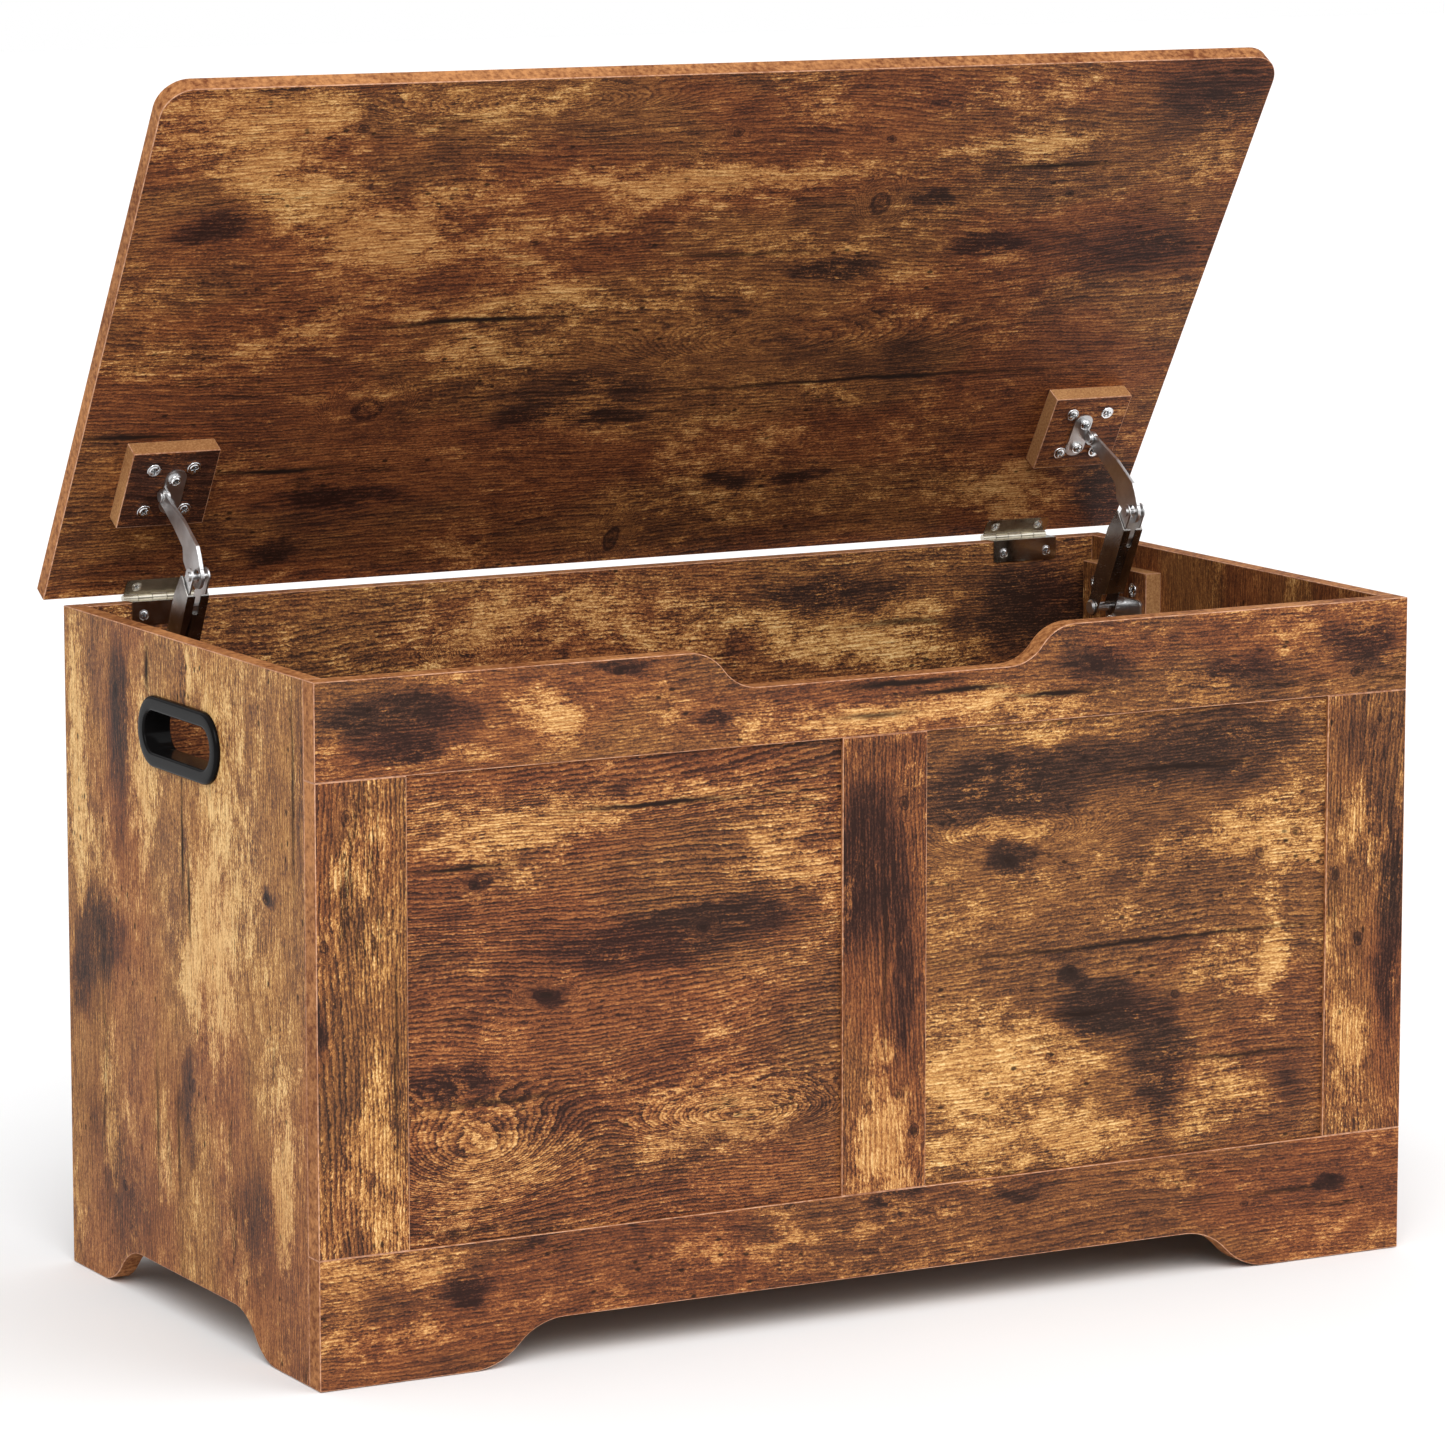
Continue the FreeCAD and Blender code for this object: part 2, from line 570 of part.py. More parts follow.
def front_frame():
    """Front rails and stiles, dowelled together, and the two grooved infill boards."""
    face = "-dims.box_depth / 2"
    middle_y = f"({face} + dims.front_board / 2)"
    stile_height = "(dims.box_height - dims.top_rail - dims.bottom_rail)"
    rail_line = "(dims.box_height - dims.top_rail)"
    outer_stile = "((dims.box_width - dims.stile) / 2)"
    stile_middles = {"left": f"-{outer_stile}", "centre": "0", "right": outer_stile}

    dowels = []
    for name, middle in stile_middles.items():
        for number, offset in enumerate(("-dims.dowel_offset", "dims.dowel_offset")):
            for end, level in (("low", "dims.bottom_rail"), ("high", rail_line)):
                start = (f"{middle} + {offset}", middle_y, f"{level} - dims.dowel_length / 2")
                dowels.append(rod(f"{name}_dowel_{end}_{number}", start, "dims.dowel_radius",
                                  "dims.dowel_length", (0, 0, 1)))
    frame_dowels = node("frame_dowels", group("dowel_group", *dowels))

    infills = []
    inner_edge = "(dims.box_width / 2 - dims.stile)"
    infill_width = f"({inner_edge} - dims.stile / 2 + 2 * dims.groove)"
    for name, side in SIDES.items():
        near = "(dims.stile / 2 - dims.groove)"
        low_x = near if side > 0 else f"-{near} - {infill_width}"
        low = (low_x, f"{face} + dims.infill_setback", "dims.bottom_rail - dims.groove")
        size = (infill_width, "dims.infill_board", f"{stile_height} + 2 * dims.groove")
        infills.append(node(f"front_{name}_infill", block(f"{name}_infill_board", low, size)))

    tools = (frame_dowels, nodes["cam_bolts"], *infills)
    for name, middle in stile_middles.items():
        low = (f"{middle} - dims.stile / 2", face, "dims.bottom_rail")
        stile = block(f"{name}_stile_blank", low, ("dims.stile", "dims.front_board", stile_height))
        node(f"front_{name}_stile", cut(f"{name}_stile_cut", stile, *tools))

    top = notched_board("top_rail_blank", "XZ_Plane", "dims.box_width", "dims.top_rail",
                        "dims.box_width / 2", "dims.scoop_mouth", "dims.scoop_flat",
                        "dims.scoop_depth", True, "dims.front_board")
    place(top, "-dims.box_width / 2", middle_y, rail_line)
    node("front_top_rail", cut("top_rail_cut", top, *tools))
    low = notched_board("bottom_rail_blank", "XZ_Plane", "dims.box_width", "dims.bottom_rail",
                        "dims.box_width / 2", "dims.front_gap_mouth", "dims.front_gap_flat",
                        "dims.gap_height", False, "dims.front_board")
    place(low, "-dims.box_width / 2", middle_y, "0")
    node("front_bottom_rail", cut("bottom_rail_cut", low, *tools))


def handles():
    """Plastic grip liners, each of two halves that meet inside the side board."""
    tunnel_length = "(dims.grip_length + 2 * dims.handle_wall)"
    tunnel_width = "(dims.grip_width + 2 * dims.handle_wall)"
    outer_face = "(dims.box_width / 2)"
    for name, side in SIDES.items():
        for half, outward in (("outer", 1), ("inner", -1)):
            tag = f"{name}_handle_{half}"
            board_face = outer_face if outward > 0 else f"({outer_face} - dims.board)"
            rim = stadium(f"{tag}_rim", "dims.handle_length", "dims.handle_width",
                          "dims.handle_rim")
            plate = rim.Tip
            far = side * outward * size_of("dims.handle_rim") / 2
            edges = [f"Edge{number}" for number, edge in enumerate(plate.Shape.Edges, start=1)
                     if all(abs(vertex.X - far) < 0.01 for vertex in edge.Vertexes)]
            rounding = rim.newObject("PartDesign::Fillet", f"{tag}_rounding")
            rounding.Base = (plate, edges)
            rounding.setExpression("Radius", "dims.rim_round")
            rim_middle = f"{side} * ({board_face} + {outward} * dims.handle_rim / 2)"
            place(rim, rim_middle, "dims.handle_middle", "dims.handle_level")
            tunnel = stadium(f"{tag}_tunnel", tunnel_length, tunnel_width, "dims.board / 2")
            tunnel_middle = f"{side} * ({board_face} - {outward} * dims.board / 4)"
            place(tunnel, tunnel_middle, "dims.handle_middle", "dims.handle_level")
            opening = stadium(f"{tag}_opening", "dims.grip_length", "dims.grip_width",
                              "3 * dims.board")
            place(opening, f"{side} * {board_face}", "dims.handle_middle", "dims.handle_level")
            node(tag, cut(f"{tag}_cut", fuse(f"{tag}_solid", rim, tunnel), opening))


def lid_and_blocks():
    """The lid board, its two stay blocks and the two blocks on the side boards."""
    half = "(dims.lid_length / 2)"
    front = "(-dims.box_depth / 2 - dims.lid_overhang)"
    rear = "(dims.box_depth / 2)"
    corners = [(f"-{half}", front), (half, front), (half, rear), (f"-{half}", rear)]
    lid = outline("lid_blank", "XY_Plane", corners, "dims.board", (0, 1), "dims.lid_corner")
    place(lid, "0", "0", f"{LID_FACE} + dims.board / 2")
    node("lid_panel", swing_open(cut("lid_cut", lid, screw_holes["lid"], screw_holes["block"])))

    for name, side in SIDES.items():
        low = (f"{side} * dims.block_middle - dims.block_width / 2",
               f"{rear} - dims.block_start - dims.block_depth", BLOCK_FACE)
        blank = block(f"{name}_lid_block_blank", low,
                      ("dims.block_width", "dims.block_depth", "dims.board"))
        drilled = cut(f"{name}_lid_block_cut", blank, screw_holes["block"],
                      screw_holes["bracket"])
        node(f"{name}_lid_block", swing_open(drilled))

        inner = "(dims.box_width / 2 - 2 * dims.board)"
        low_x = inner if side > 0 else f"-{inner} - dims.board"
        low = (low_x, "dims.side_block_front", "dims.side_block_top - dims.side_block_height")
        blank = block(f"{name}_side_block_blank", low,
                      ("dims.board", "dims.side_block_depth", "dims.side_block_height"))
        node(f"{name}_side_block", cut(f"{name}_side_block_cut", blank, screw_holes["side"],
                                       screw_holes["base"]))


def hinges():
    """Two cranked hinges of five knuckles, with fixed pins in the box leaves."""
    back_face = "(dims.box_depth / 2 - dims.board)"
    root = "(dims.box_depth / 2 - dims.knuckle_gap)"
    knuckle = f"((dims.hinge_length - {KNUCKLES - 1} * dims.knuckle_gap) / {KNUCKLES})"
    for name, side in SIDES.items():
        start_x = f"({side} * dims.hinge_middle - dims.hinge_length / 2)"
        flap_corners = [("0", "-dims.flap_height"), ("dims.hinge_length", "-dims.flap_height"),
                        ("dims.hinge_length", "0"), ("0", "0")]
        flap = outline(f"{name}_flap", "XZ_Plane", flap_corners, "dims.leaf", (0, 1),
                       "dims.leaf_corner")
        place(flap, start_x, f"{back_face} - dims.leaf / 2", "dims.box_height")
        top = block(f"{name}_top_strip", (start_x, f"{back_face} - dims.leaf", "dims.box_height"),
                    ("dims.hinge_length", f"{root} - {back_face} + dims.leaf", "dims.leaf"))
        reach = f"{root} - {back_face}"
        plate_corners = [("0", "0"), ("dims.hinge_length", "0"),
                         ("dims.hinge_length", reach), ("0", reach)]
        plate = outline(f"{name}_plate", "XY_Plane", plate_corners, "dims.leaf", (0, 1),
                        "dims.leaf_corner")
        place(plate, start_x, back_face, f"{LID_FACE} - dims.leaf / 2")

        leaves = {"box": [flap, top], "lid": [plate]}
        lowest = {"box": "dims.box_height", "lid": f"{LID_FACE} - dims.leaf"}
        for number in range(KNUCKLES):
            owner = "lid" if number % 2 else "box"
            knuckle_x = f"{start_x} + {number} * ({knuckle} + dims.knuckle_gap)"
            tag = f"{name}_knuckle_{number}"
            bridge = block(f"{tag}_bridge", (knuckle_x, root, lowest[owner]),
                           (knuckle, f"{PIN_BACK} - {root}", "dims.leaf"))
            barrel = rod(tag, (knuckle_x, PIN_BACK, PIN_LEVEL), "dims.barrel_radius", knuckle,
                         (1, 0, 0))
            leaves[owner] += [bridge, barrel]
        pin_start = (start_x, PIN_BACK, PIN_LEVEL)
        pin = rod(f"{name}_pin", pin_start, "dims.hinge_pin", "dims.hinge_length", (1, 0, 0))
        bore = rod(f"{name}_bore", pin_start, "dims.hinge_pin + dims.pivot_play",
                   "dims.hinge_length", (1, 0, 0))
        node(f"{name}_hinge_pin", pin)
        box_leaf = cut(f"{name}_box_leaf_cut", fuse(f"{name}_box_leaf_solid", *leaves["box"]),
                       pin, screw_holes["back"])
        node(f"{name}_hinge_box_leaf", box_leaf)
        lid_leaf = cut(f"{name}_lid_leaf_cut", fuse(f"{name}_lid_leaf_solid", *leaves["lid"]),
                       bore, screw_holes["lid"])
        node(f"{name}_hinge_lid_leaf", swing_open(lid_leaf))


def stay_plane(side, inward="0"):
    """X of a plane the given distance nearer the box's middle than a stay's middle plane."""
    return f"{side} * (dims.stay_middle - ({inward}))"


BRACKET_BACK = "(dims.box_depth / 2 - dims.lid_pivot_inset)"
BRACKET_LEVEL = "(dims.box_height + dims.lid_gap - dims.lid_pivot_drop)"


def lid_brackets():
    """The stays' brackets and rivets on the lid blocks, drawn closed."""
    for name, side in SIDES.items():
        flange_far = "(dims.arm_thickness / 2 + dims.side_play + dims.flange)"
        half = ("dims.bracket_width / 2", "dims.bracket_length / 2")
        corners = [(f"{x} * {half[0]}", f"{y} * {half[1]}")
                   for x, y in ((-1, -1), (-1, 1), (1, 1), (1, -1))]
        plate = outline(f"{name}_bracket_plate", "XY_Plane", corners, "dims.flange", range(4),
                        "dims.bracket_corner")
        plate_x = stay_plane(side, f"{flange_far} - dims.flange + {half[0]}")
        place(plate, plate_x, BRACKET_BACK, f"{BLOCK_FACE} - dims.flange / 2")
        drop = f"{BLOCK_FACE} - {BRACKET_LEVEL}"
        flange_x = f"{stay_plane(side, flange_far)} - {0 if side > 0 else 1} * dims.flange"
        web = block(f"{name}_bracket_web",
                    (flange_x, f"{BRACKET_BACK} - dims.bracket_ear", BRACKET_LEVEL),
                    ("dims.flange", "2 * dims.bracket_ear", drop))
        ear = rod(f"{name}_bracket_ear", (flange_x, BRACKET_BACK, BRACKET_LEVEL),
                  "dims.bracket_ear", "dims.flange", (1, 0, 0))
        span = "(dims.arm_thickness + 2 * dims.side_play + dims.flange)"
        hole = rod(f"{name}_rivet_shank",
                   (stay_plane(side, flange_far), BRACKET_BACK, BRACKET_LEVEL),
                   "dims.lid_pivot", span, (side, 0, 0))
        heads = []
        ends = {"in": f"{flange_far} + dims.rivet_crown", "out": f"{flange_far} - {span}"}
        for end, inward in ends.items():
            start = (stay_plane(side, inward), BRACKET_BACK, BRACKET_LEVEL)
            heads.append(rod(f"{name}_rivet_head_{end}", start, "dims.rivet_head",
                             "dims.rivet_crown", (side, 0, 0)))
        solid = fuse(f"{name}_bracket_solid", plate, web, ear)
        bracket = cut(f"{name}_bracket_cut", solid, hole, screw_holes["bracket"])
        node(f"{name}_stay_lid_bracket", swing_open(bracket))
        rivet = fuse(f"{name}_rivet_solid", hole, *heads)
        node(f"{name}_stay_lid_rivet", swing_open(rivet))


ELBOW_BACK = ("(dims.base_pivot_back - dims.elbow_forward * cos(dims.casing_lean)"
              " - dims.elbow_rise * sin(dims.casing_lean))")
ELBOW_LEVEL = ("(dims.base_pivot_level - dims.elbow_forward * sin(dims.casing_lean)"
               " + dims.elbow_rise * cos(dims.casing_lean))")
ARM_BACK = (f"({PIN_BACK} + ({BRACKET_BACK} - {PIN_BACK}) * {COSINE}"
            f" + ({BRACKET_LEVEL} - {PIN_LEVEL}) * {SINE} - {ELBOW_BACK})")
ARM_RISE = (f"({PIN_LEVEL} - ({BRACKET_BACK} - {PIN_BACK}) * {SINE}"
            f" + ({BRACKET_LEVEL} - {PIN_LEVEL}) * {COSINE} - {ELBOW_LEVEL})")
ARM_LENGTH = f"sqrt({ARM_BACK} * {ARM_BACK} + {ARM_RISE} * {ARM_RISE})"
ARM_LEAN = f"atan2({ARM_BACK}; {ARM_RISE})"


def stay_arm(name, side):
    """The cranked arm from the elbow to the lid, drawn upright about the elbow pin."""
    corners = [
        ("-dims.arm_eye", f"{ARM_LENGTH} - 2"),
        ("-dims.arm_belly", f"{ARM_LENGTH} * dims.arm_narrow"),
        ("-dims.arm_knee", "dims.arm_heel * 1.5"),
        ("-dims.arm_knee + 2", "dims.arm_heel - 1"),
        ("-dims.arm_heel", "-dims.arm_heel / 4"),
        ("dims.arm_heel - 1", "dims.arm_heel * 3 / 8"),
        ("dims.arm_lobe", "dims.arm_lobe_low"),
        ("dims.arm_lobe - 1", "dims.arm_lobe_high"),
        ("dims.arm_back - 0.5", "dims.arm_waist"),
        ("dims.arm_back", f"{ARM_LENGTH} * dims.arm_wide"),
        ("dims.arm_eye", f"{ARM_LENGTH} - 1"),
    ]
    plate = outline(f"{name}_arm_plate", "YZ_Plane", corners, "dims.arm_thickness",
                    (1, 2, 3, 6, 7, 8), "dims.arm_bend")
    start = "-dims.arm_thickness / 2"
    eye = rod(f"{name}_arm_eye", (start, "0", ARM_LENGTH), "dims.arm_eye",
              "dims.arm_thickness", (1, 0, 0))
    heel = rod(f"{name}_arm_heel", (start, "0", "0"), "dims.arm_heel", "dims.arm_thickness",
               (1, 0, 0))
    rivet_hole = rod(f"{name}_arm_rivet_hole", ("-dims.board", "0", ARM_LENGTH),
                     "dims.lid_pivot + dims.pivot_play", "2 * dims.board", (1, 0, 0))
    elbow_hole = rod(f"{name}_arm_elbow_hole", ("-dims.board", "0", "0"),
                     "dims.elbow_pin + dims.elbow_play", "2 * dims.board", (1, 0, 0))
    arm = cut(f"{name}_arm_cut", fuse(f"{name}_arm_solid", plate, eye, heel), rivet_hole,
              elbow_hole)
    node(f"{name}_stay_arm", lean(arm, f"-{ARM_LEAN}", stay_plane(side), ELBOW_BACK,
                                  ELBOW_LEVEL))


def stay_casing(name, side):
    """The casing, inner channel, elbow pin and closing buffer, drawn upright on the base pin."""
    base = (stay_plane(side), "dims.base_pivot_back", "dims.base_pivot_level")
    half = "(dims.casing_width / 2)"
    cheeks = [
        ("-dims.casing_front", "dims.casing_bottom"),
        ("-dims.casing_front", "dims.casing_top"),
        ("dims.casing_rear / 2", "dims.casing_crown"),
        ("dims.casing_rear", "dims.casing_shoulder"),
        ("dims.casing_rear", "dims.casing_bottom + dims.casing_notch"),
        ("dims.tongue_radius", "dims.casing_bottom - 1"),
        ("dims.tongue_radius", "0"),
        ("-dims.tongue_radius", "0"),
        ("-dims.tongue_radius", "dims.casing_bottom - dims.casing_notch"),
    ]
    blank = outline(f"{name}_casing_blank", "YZ_Plane", cheeks, "dims.casing_width", (1, 2, 3),
                    "dims.casing_corner")
    tongue = rod(f"{name}_tongue_end", (f"-{half}", "0", "0"), "dims.tongue_radius",
                 "dims.casing_width", (1, 0, 0))
    ridge = block(f"{name}_ridge",
                  ("-dims.ridge_width / 2", "-dims.casing_front - dims.ridge_proud",
                   "dims.casing_bottom + dims.ridge_start"),
                  ("dims.ridge_width", "dims.ridge_proud + dims.sheet_metal / 2",
                   "dims.ridge_length"))
    solid = fuse(f"{name}_casing_solid", blank, tongue, ridge)
    inner = f"({half} - dims.sheet_metal)"
    floor = "(dims.casing_bottom + dims.sheet_metal)"
    upper = block(f"{name}_casing_upper",
                  (f"-{inner}", "-dims.casing_front + dims.sheet_metal", floor),
                  (f"2 * {inner}", "dims.past", "dims.past"))
    lower = block(f"{name}_casing_lower", (f"-{inner}", "-dims.past", "-dims.past"),
                  (f"2 * {inner}", "2 * dims.past", "dims.past + dims.casing_bottom"))
    behind = block(f"{name}_casing_behind", (f"-{inner}", "dims.tongue_depth", "-dims.past"),
                   (f"2 * {inner}", "dims.past", "2 * dims.past"))
    slot = block(f"{name}_casing_slot",
                 ("-dims.slot_width / 2", "-dims.past", "dims.casing_top - dims.slot_length"),
                 ("dims.slot_width", "dims.past", "dims.past"))
    bore = rod(f"{name}_base_bore", ("-dims.board", "0", "0"), "dims.base_pin + dims.pivot_play",
               "2 * dims.board", (1, 0, 0))
    casing = cut(f"{name}_casing_cut", solid, upper, lower, behind, slot, bore)
    node(f"{name}_stay_casing", lean(casing, "dims.casing_lean", *base))

    skin = f"({inner} - dims.channel_play)"
    web = "(-dims.casing_front + dims.sheet_metal + dims.channel_play)"
    channel_top = "dims.casing_top - dims.channel_drop"
    ear_side = "dims.ear_radius * 0.945"
    ear_level = "dims.elbow_rise - dims.ear_radius * 0.273"
    sides = [
        (web, "dims.channel_low"),
        (web, channel_top),
        (f"-dims.elbow_forward - {ear_side}", ear_level),
        (f"-dims.elbow_forward + {ear_side}", ear_level),
        ("dims.casing_rear - dims.channel_inset", "dims.casing_shoulder"),
        ("dims.casing_rear - dims.channel_inset", "dims.channel_low"),
    ]
    blank = outline(f"{name}_channel_blank", "YZ_Plane", sides, f"2 * {skin}")
    ears = rod(f"{name}_ears", (f"-{skin}", "-dims.elbow_forward", "dims.elbow_rise"),
               "dims.ear_radius", f"2 * {skin}", (1, 0, 0))
    gap = f"({skin} - dims.sheet_metal)"
    space = block(f"{name}_channel_space", (f"-{gap}", f"{web} + dims.sheet_metal", "0"),
                  (f"2 * {gap}", "dims.past", "dims.past"))
    above = block(f"{name}_channel_above", (f"-{gap}", "-dims.past", channel_top),
                  (f"2 * {gap}", "2 * dims.past", "dims.past"))
    shank = rod(f"{name}_elbow_shank", (f"-{skin}", "-dims.elbow_forward", "dims.elbow_rise"),
                "dims.elbow_pin", f"2 * {skin}", (1, 0, 0))
    channel = cut(f"{name}_channel_cut", fuse(f"{name}_channel_solid", blank, ears), space,
                  above, shank)
    node(f"{name}_stay_channel", lean(channel, "dims.casing_lean", *base))

    heads = []
    for end, start in (("low", f"-{skin} - dims.rivet_crown"), ("high", skin)):
        seat = (start, "-dims.elbow_forward", "dims.elbow_rise")
        heads.append(rod(f"{name}_elbow_head_{end}", seat, "dims.elbow_head",
                         "dims.rivet_crown", (1, 0, 0)))
    pin = fuse(f"{name}_elbow_pin_solid", shank, *heads)
    node(f"{name}_stay_elbow_pin", lean(pin, "dims.casing_lean", *base))

    stem = rod(f"{name}_buffer_stem", ("0", "-dims.buffer_forward", floor), "dims.buffer_stem",
               f"dims.buffer_level - {floor}", (0, 0, 1))
    head = block(f"{name}_buffer_head",
                 (f"-{gap} + dims.side_play", "-dims.buffer_front", "dims.buffer_level"),
                 (f"2 * ({gap} - dims.side_play)", "dims.buffer_depth", "dims.buffer_height"))
    buffer = fuse(f"{name}_buffer_solid", stem, head)
    node(f"{name}_stay_buffer", lean(buffer, "dims.casing_lean", *base))
    pitch = f"((dims.buffer_level - {floor}) / {DISCS})"
    discs = []
    for number in range(DISCS):
        seat = ("0", "-dims.buffer_forward", f"{floor} + {number} * {pitch}")
        discs.append(rod(f"{name}_disc_{number}", seat, "dims.disc_radius",
                         f"{pitch} - dims.disc_gap", (0, 0, 1)))
    clearance = rod(f"{name}_disc_bore", ("0", "-dims.buffer_forward", "0"), "dims.disc_bore",
                    "dims.past", (0, 0, 1))
    stack = cut(f"{name}_disc_cut", group(f"{name}_disc_group", *discs), clearance)
    node(f"{name}_stay_springs", lean(stack, "dims.casing_lean", *base))


def stay_base(name, side):
    """The base plate on the side block and its headed, collared pin."""
    face = "(dims.box_width / 2 - 2 * dims.board)"
    corners = [("-dims.base_half", "-dims.base_foot"), ("dims.base_half", "-dims.base_foot"),
               ("dims.base_half", "dims.base_brow"), ("-dims.base_half", "dims.base_brow")]
    plate = outline(f"{name}_base_blank", "YZ_Plane", corners, "dims.base_plate", range(4),
                    "dims.base_corner")
    place(plate, f"{side} * ({face} - dims.base_plate / 2)", "dims.base_pivot_back",
          "dims.base_pivot_level")
    cheek = "(dims.casing_width / 2)"
    reach = f"({face} - dims.base_plate - dims.stay_middle)"
    seat = f"-{cheek} - dims.side_play"
    profile = [
        ("0", f"{seat} - dims.pin_head_height"),
        ("dims.pin_head_face", f"{seat} - dims.pin_head_height"),
        ("dims.pin_head", f"{seat} - dims.pin_head_rim"),
        ("dims.pin_head", seat),
        ("dims.base_pin", seat),
        ("dims.base_pin", f"{cheek} + dims.side_play"),
        ("dims.pin_collar", f"{cheek} + dims.side_play"),
        ("dims.pin_collar", reach),
        ("dims.pin_root", reach),
        ("dims.pin_root", f"{reach} + dims.base_plate"),
        ("0", f"{reach} + dims.base_plate"),
    ]
    pin = turned(f"{name}_base_pin_turning", profile)
    pin.Placement = FreeCAD.Placement(V(), FreeCAD.Rotation(V(0, 0, 1), V(side, 0, 0)))
    place(pin, stay_plane(side), "dims.base_pivot_back", "dims.base_pivot_level")
    node(f"{name}_stay_base_pin", pin)
    node(f"{name}_stay_base_plate", cut(f"{name}_base_cut", plate, pin, screw_holes["base"]))


def fasteners():
    """Every screw group, and the solids that clear their holes."""
    spots = {key: [] for key in ("back", "lid", "block", "side", "bracket", "base", "cleat")}
    back_face = "dims.box_depth / 2 - dims.board - dims.leaf"
    plate_face = f"{LID_FACE} - dims.leaf"
    inner = "dims.box_width / 2 - 2 * dims.board"
    rear = "dims.box_depth / 2"
    for side in SIDES.values():
        for end in (-1, 1):
            x = f"{side} * dims.hinge_middle + {end} * dims.hinge_screw"
            level = "dims.box_height - dims.flap_screw_drop"
            spots["back"].append(((x, back_face, level), (0, -1, 0)))
            y = f"{rear} - dims.plate_screw_inset"
            spots["lid"].append(((x, y, plate_face), (0, 0, -1)))
            block_x = (f"{side} * dims.block_middle"
                       f" + {end} * (dims.block_width / 2 - dims.block_screw)")
            for inset in ("dims.block_screw_edge", "dims.block_depth - dims.block_screw_edge"):
                y = f"{rear} - dims.block_start - ({inset})"
                spots["block"].append(((block_x, y, BLOCK_FACE), (0, 0, -1)))
            for drop in ("dims.block_screw_edge", "dims.side_screw_low"):
                y = (f"dims.side_block_front + dims.side_block_depth / 2"
                     f" + {end} * dims.side_screw_spread")
                spot = (f"{side} * ({inner})", y, f"dims.side_block_top - {drop}")
                spots["side"].append((spot, (-side, 0, 0)))
            bracket_x = stay_plane(side, "dims.arm_thickness / 2 + dims.side_play"
                                         " + dims.bracket_screw_inset")
            y = f"{BRACKET_BACK} + {end} * dims.bracket_screw_spread"
            spots["bracket"].append(((bracket_x, y, f"{BLOCK_FACE} - dims.flange"), (0, 0, -1)))
            y = f"dims.base_pivot_back + {end} * dims.base_screw_spread"
            spot = (f"{side} * ({inner} - dims.base_plate)", y,
                    "dims.base_pivot_level - dims.base_screw_drop")
            spots["base"].append((spot, (-side, 0, 0)))
            cleat_x = f"{side} * (dims.box_width / 2 - dims.board - dims.cleat)"
            spot = (cleat_x, f"{end} * dims.cleat_screw_spread",
                    "dims.bottom_level - dims.cleat / 2")
            spots["cleat"].append((spot, (-side, 0, 0)))
    kinds = {"back": hinge_screw, "lid": hinge_screw, "block": block_screw, "side": block_screw,
             "bracket": bracket_screw, "base": bracket_screw, "cleat": block_screw}
    names = {"back": "hinge_box_screws", "lid": "hinge_lid_screws", "block": "lid_block_screws",
             "side": "side_block_screws", "bracket": "stay_bracket_screws",
             "base": "stay_base_screws", "cleat": "cleat_screws"}
    on_lid = ("lid", "block", "bracket")
    for key, kind in kinds.items():
        screws, holes = kind.copies(names[key], spots[key])
        screw_holes[key] = holes
        node(names[key], swing_open(screws) if key in on_lid else screws)


screw_holes = {}
fasteners()
carcass()
front_frame()
handles()
lid_and_blocks()
hinges()
lid_brackets()
for side_name, side_sign in SIDES.items():
    stay_arm(side_name, side_sign)
    stay_casing(side_name, side_sign)
    stay_base(side_name, side_sign)
doc.recompute()

failed = [item.Name for item in doc.Objects
          if "Invalid" in item.State or "Error" in item.State]
broken = [name for name, item in nodes.items()
          if item.Shape.isNull() or not item.Shape.isValid() or not item.Shape.Solids]
if failed or broken:
    raise RuntimeError(f"failed objects {failed}, broken sub-parts {broken}")

os.makedirs("parts", exist_ok=True)
to_frame = V(0, -size_of("dims.frame_back"), 0)
for name, item in nodes.items():
    item.Shape.translated(to_frame).exportStep(f"parts/{name}.step")
print(len(nodes), "sub-parts")
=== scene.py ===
import json
import math

import bmesh
import bpy
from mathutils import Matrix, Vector

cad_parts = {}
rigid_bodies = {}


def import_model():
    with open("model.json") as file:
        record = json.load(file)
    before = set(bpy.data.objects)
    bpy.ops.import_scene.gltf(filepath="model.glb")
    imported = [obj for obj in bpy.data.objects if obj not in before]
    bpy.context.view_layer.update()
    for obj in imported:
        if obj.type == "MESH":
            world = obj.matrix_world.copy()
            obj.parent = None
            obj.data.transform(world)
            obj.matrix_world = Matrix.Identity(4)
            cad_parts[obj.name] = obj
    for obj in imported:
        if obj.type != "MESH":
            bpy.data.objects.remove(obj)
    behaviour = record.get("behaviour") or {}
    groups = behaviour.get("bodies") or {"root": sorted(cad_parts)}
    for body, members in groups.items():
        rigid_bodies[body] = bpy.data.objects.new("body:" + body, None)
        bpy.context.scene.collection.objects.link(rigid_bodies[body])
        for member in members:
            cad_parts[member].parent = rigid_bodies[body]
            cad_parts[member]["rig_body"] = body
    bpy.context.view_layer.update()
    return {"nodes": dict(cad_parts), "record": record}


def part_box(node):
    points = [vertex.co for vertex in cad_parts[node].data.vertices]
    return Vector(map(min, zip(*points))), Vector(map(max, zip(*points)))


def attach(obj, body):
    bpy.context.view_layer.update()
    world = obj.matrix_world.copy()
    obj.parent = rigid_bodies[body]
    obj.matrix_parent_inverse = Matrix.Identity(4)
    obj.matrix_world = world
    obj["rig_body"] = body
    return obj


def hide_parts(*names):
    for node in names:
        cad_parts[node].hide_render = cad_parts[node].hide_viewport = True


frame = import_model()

# Looks of the wooden toy box: laminated boards with eased edges, moulded grips, nickel hinges,
# folded-steel lid stays and cross-head screws, in a plain white studio.
# Lengths are in metres. +X runs along the box, +Y to the hinged back, +Z up.

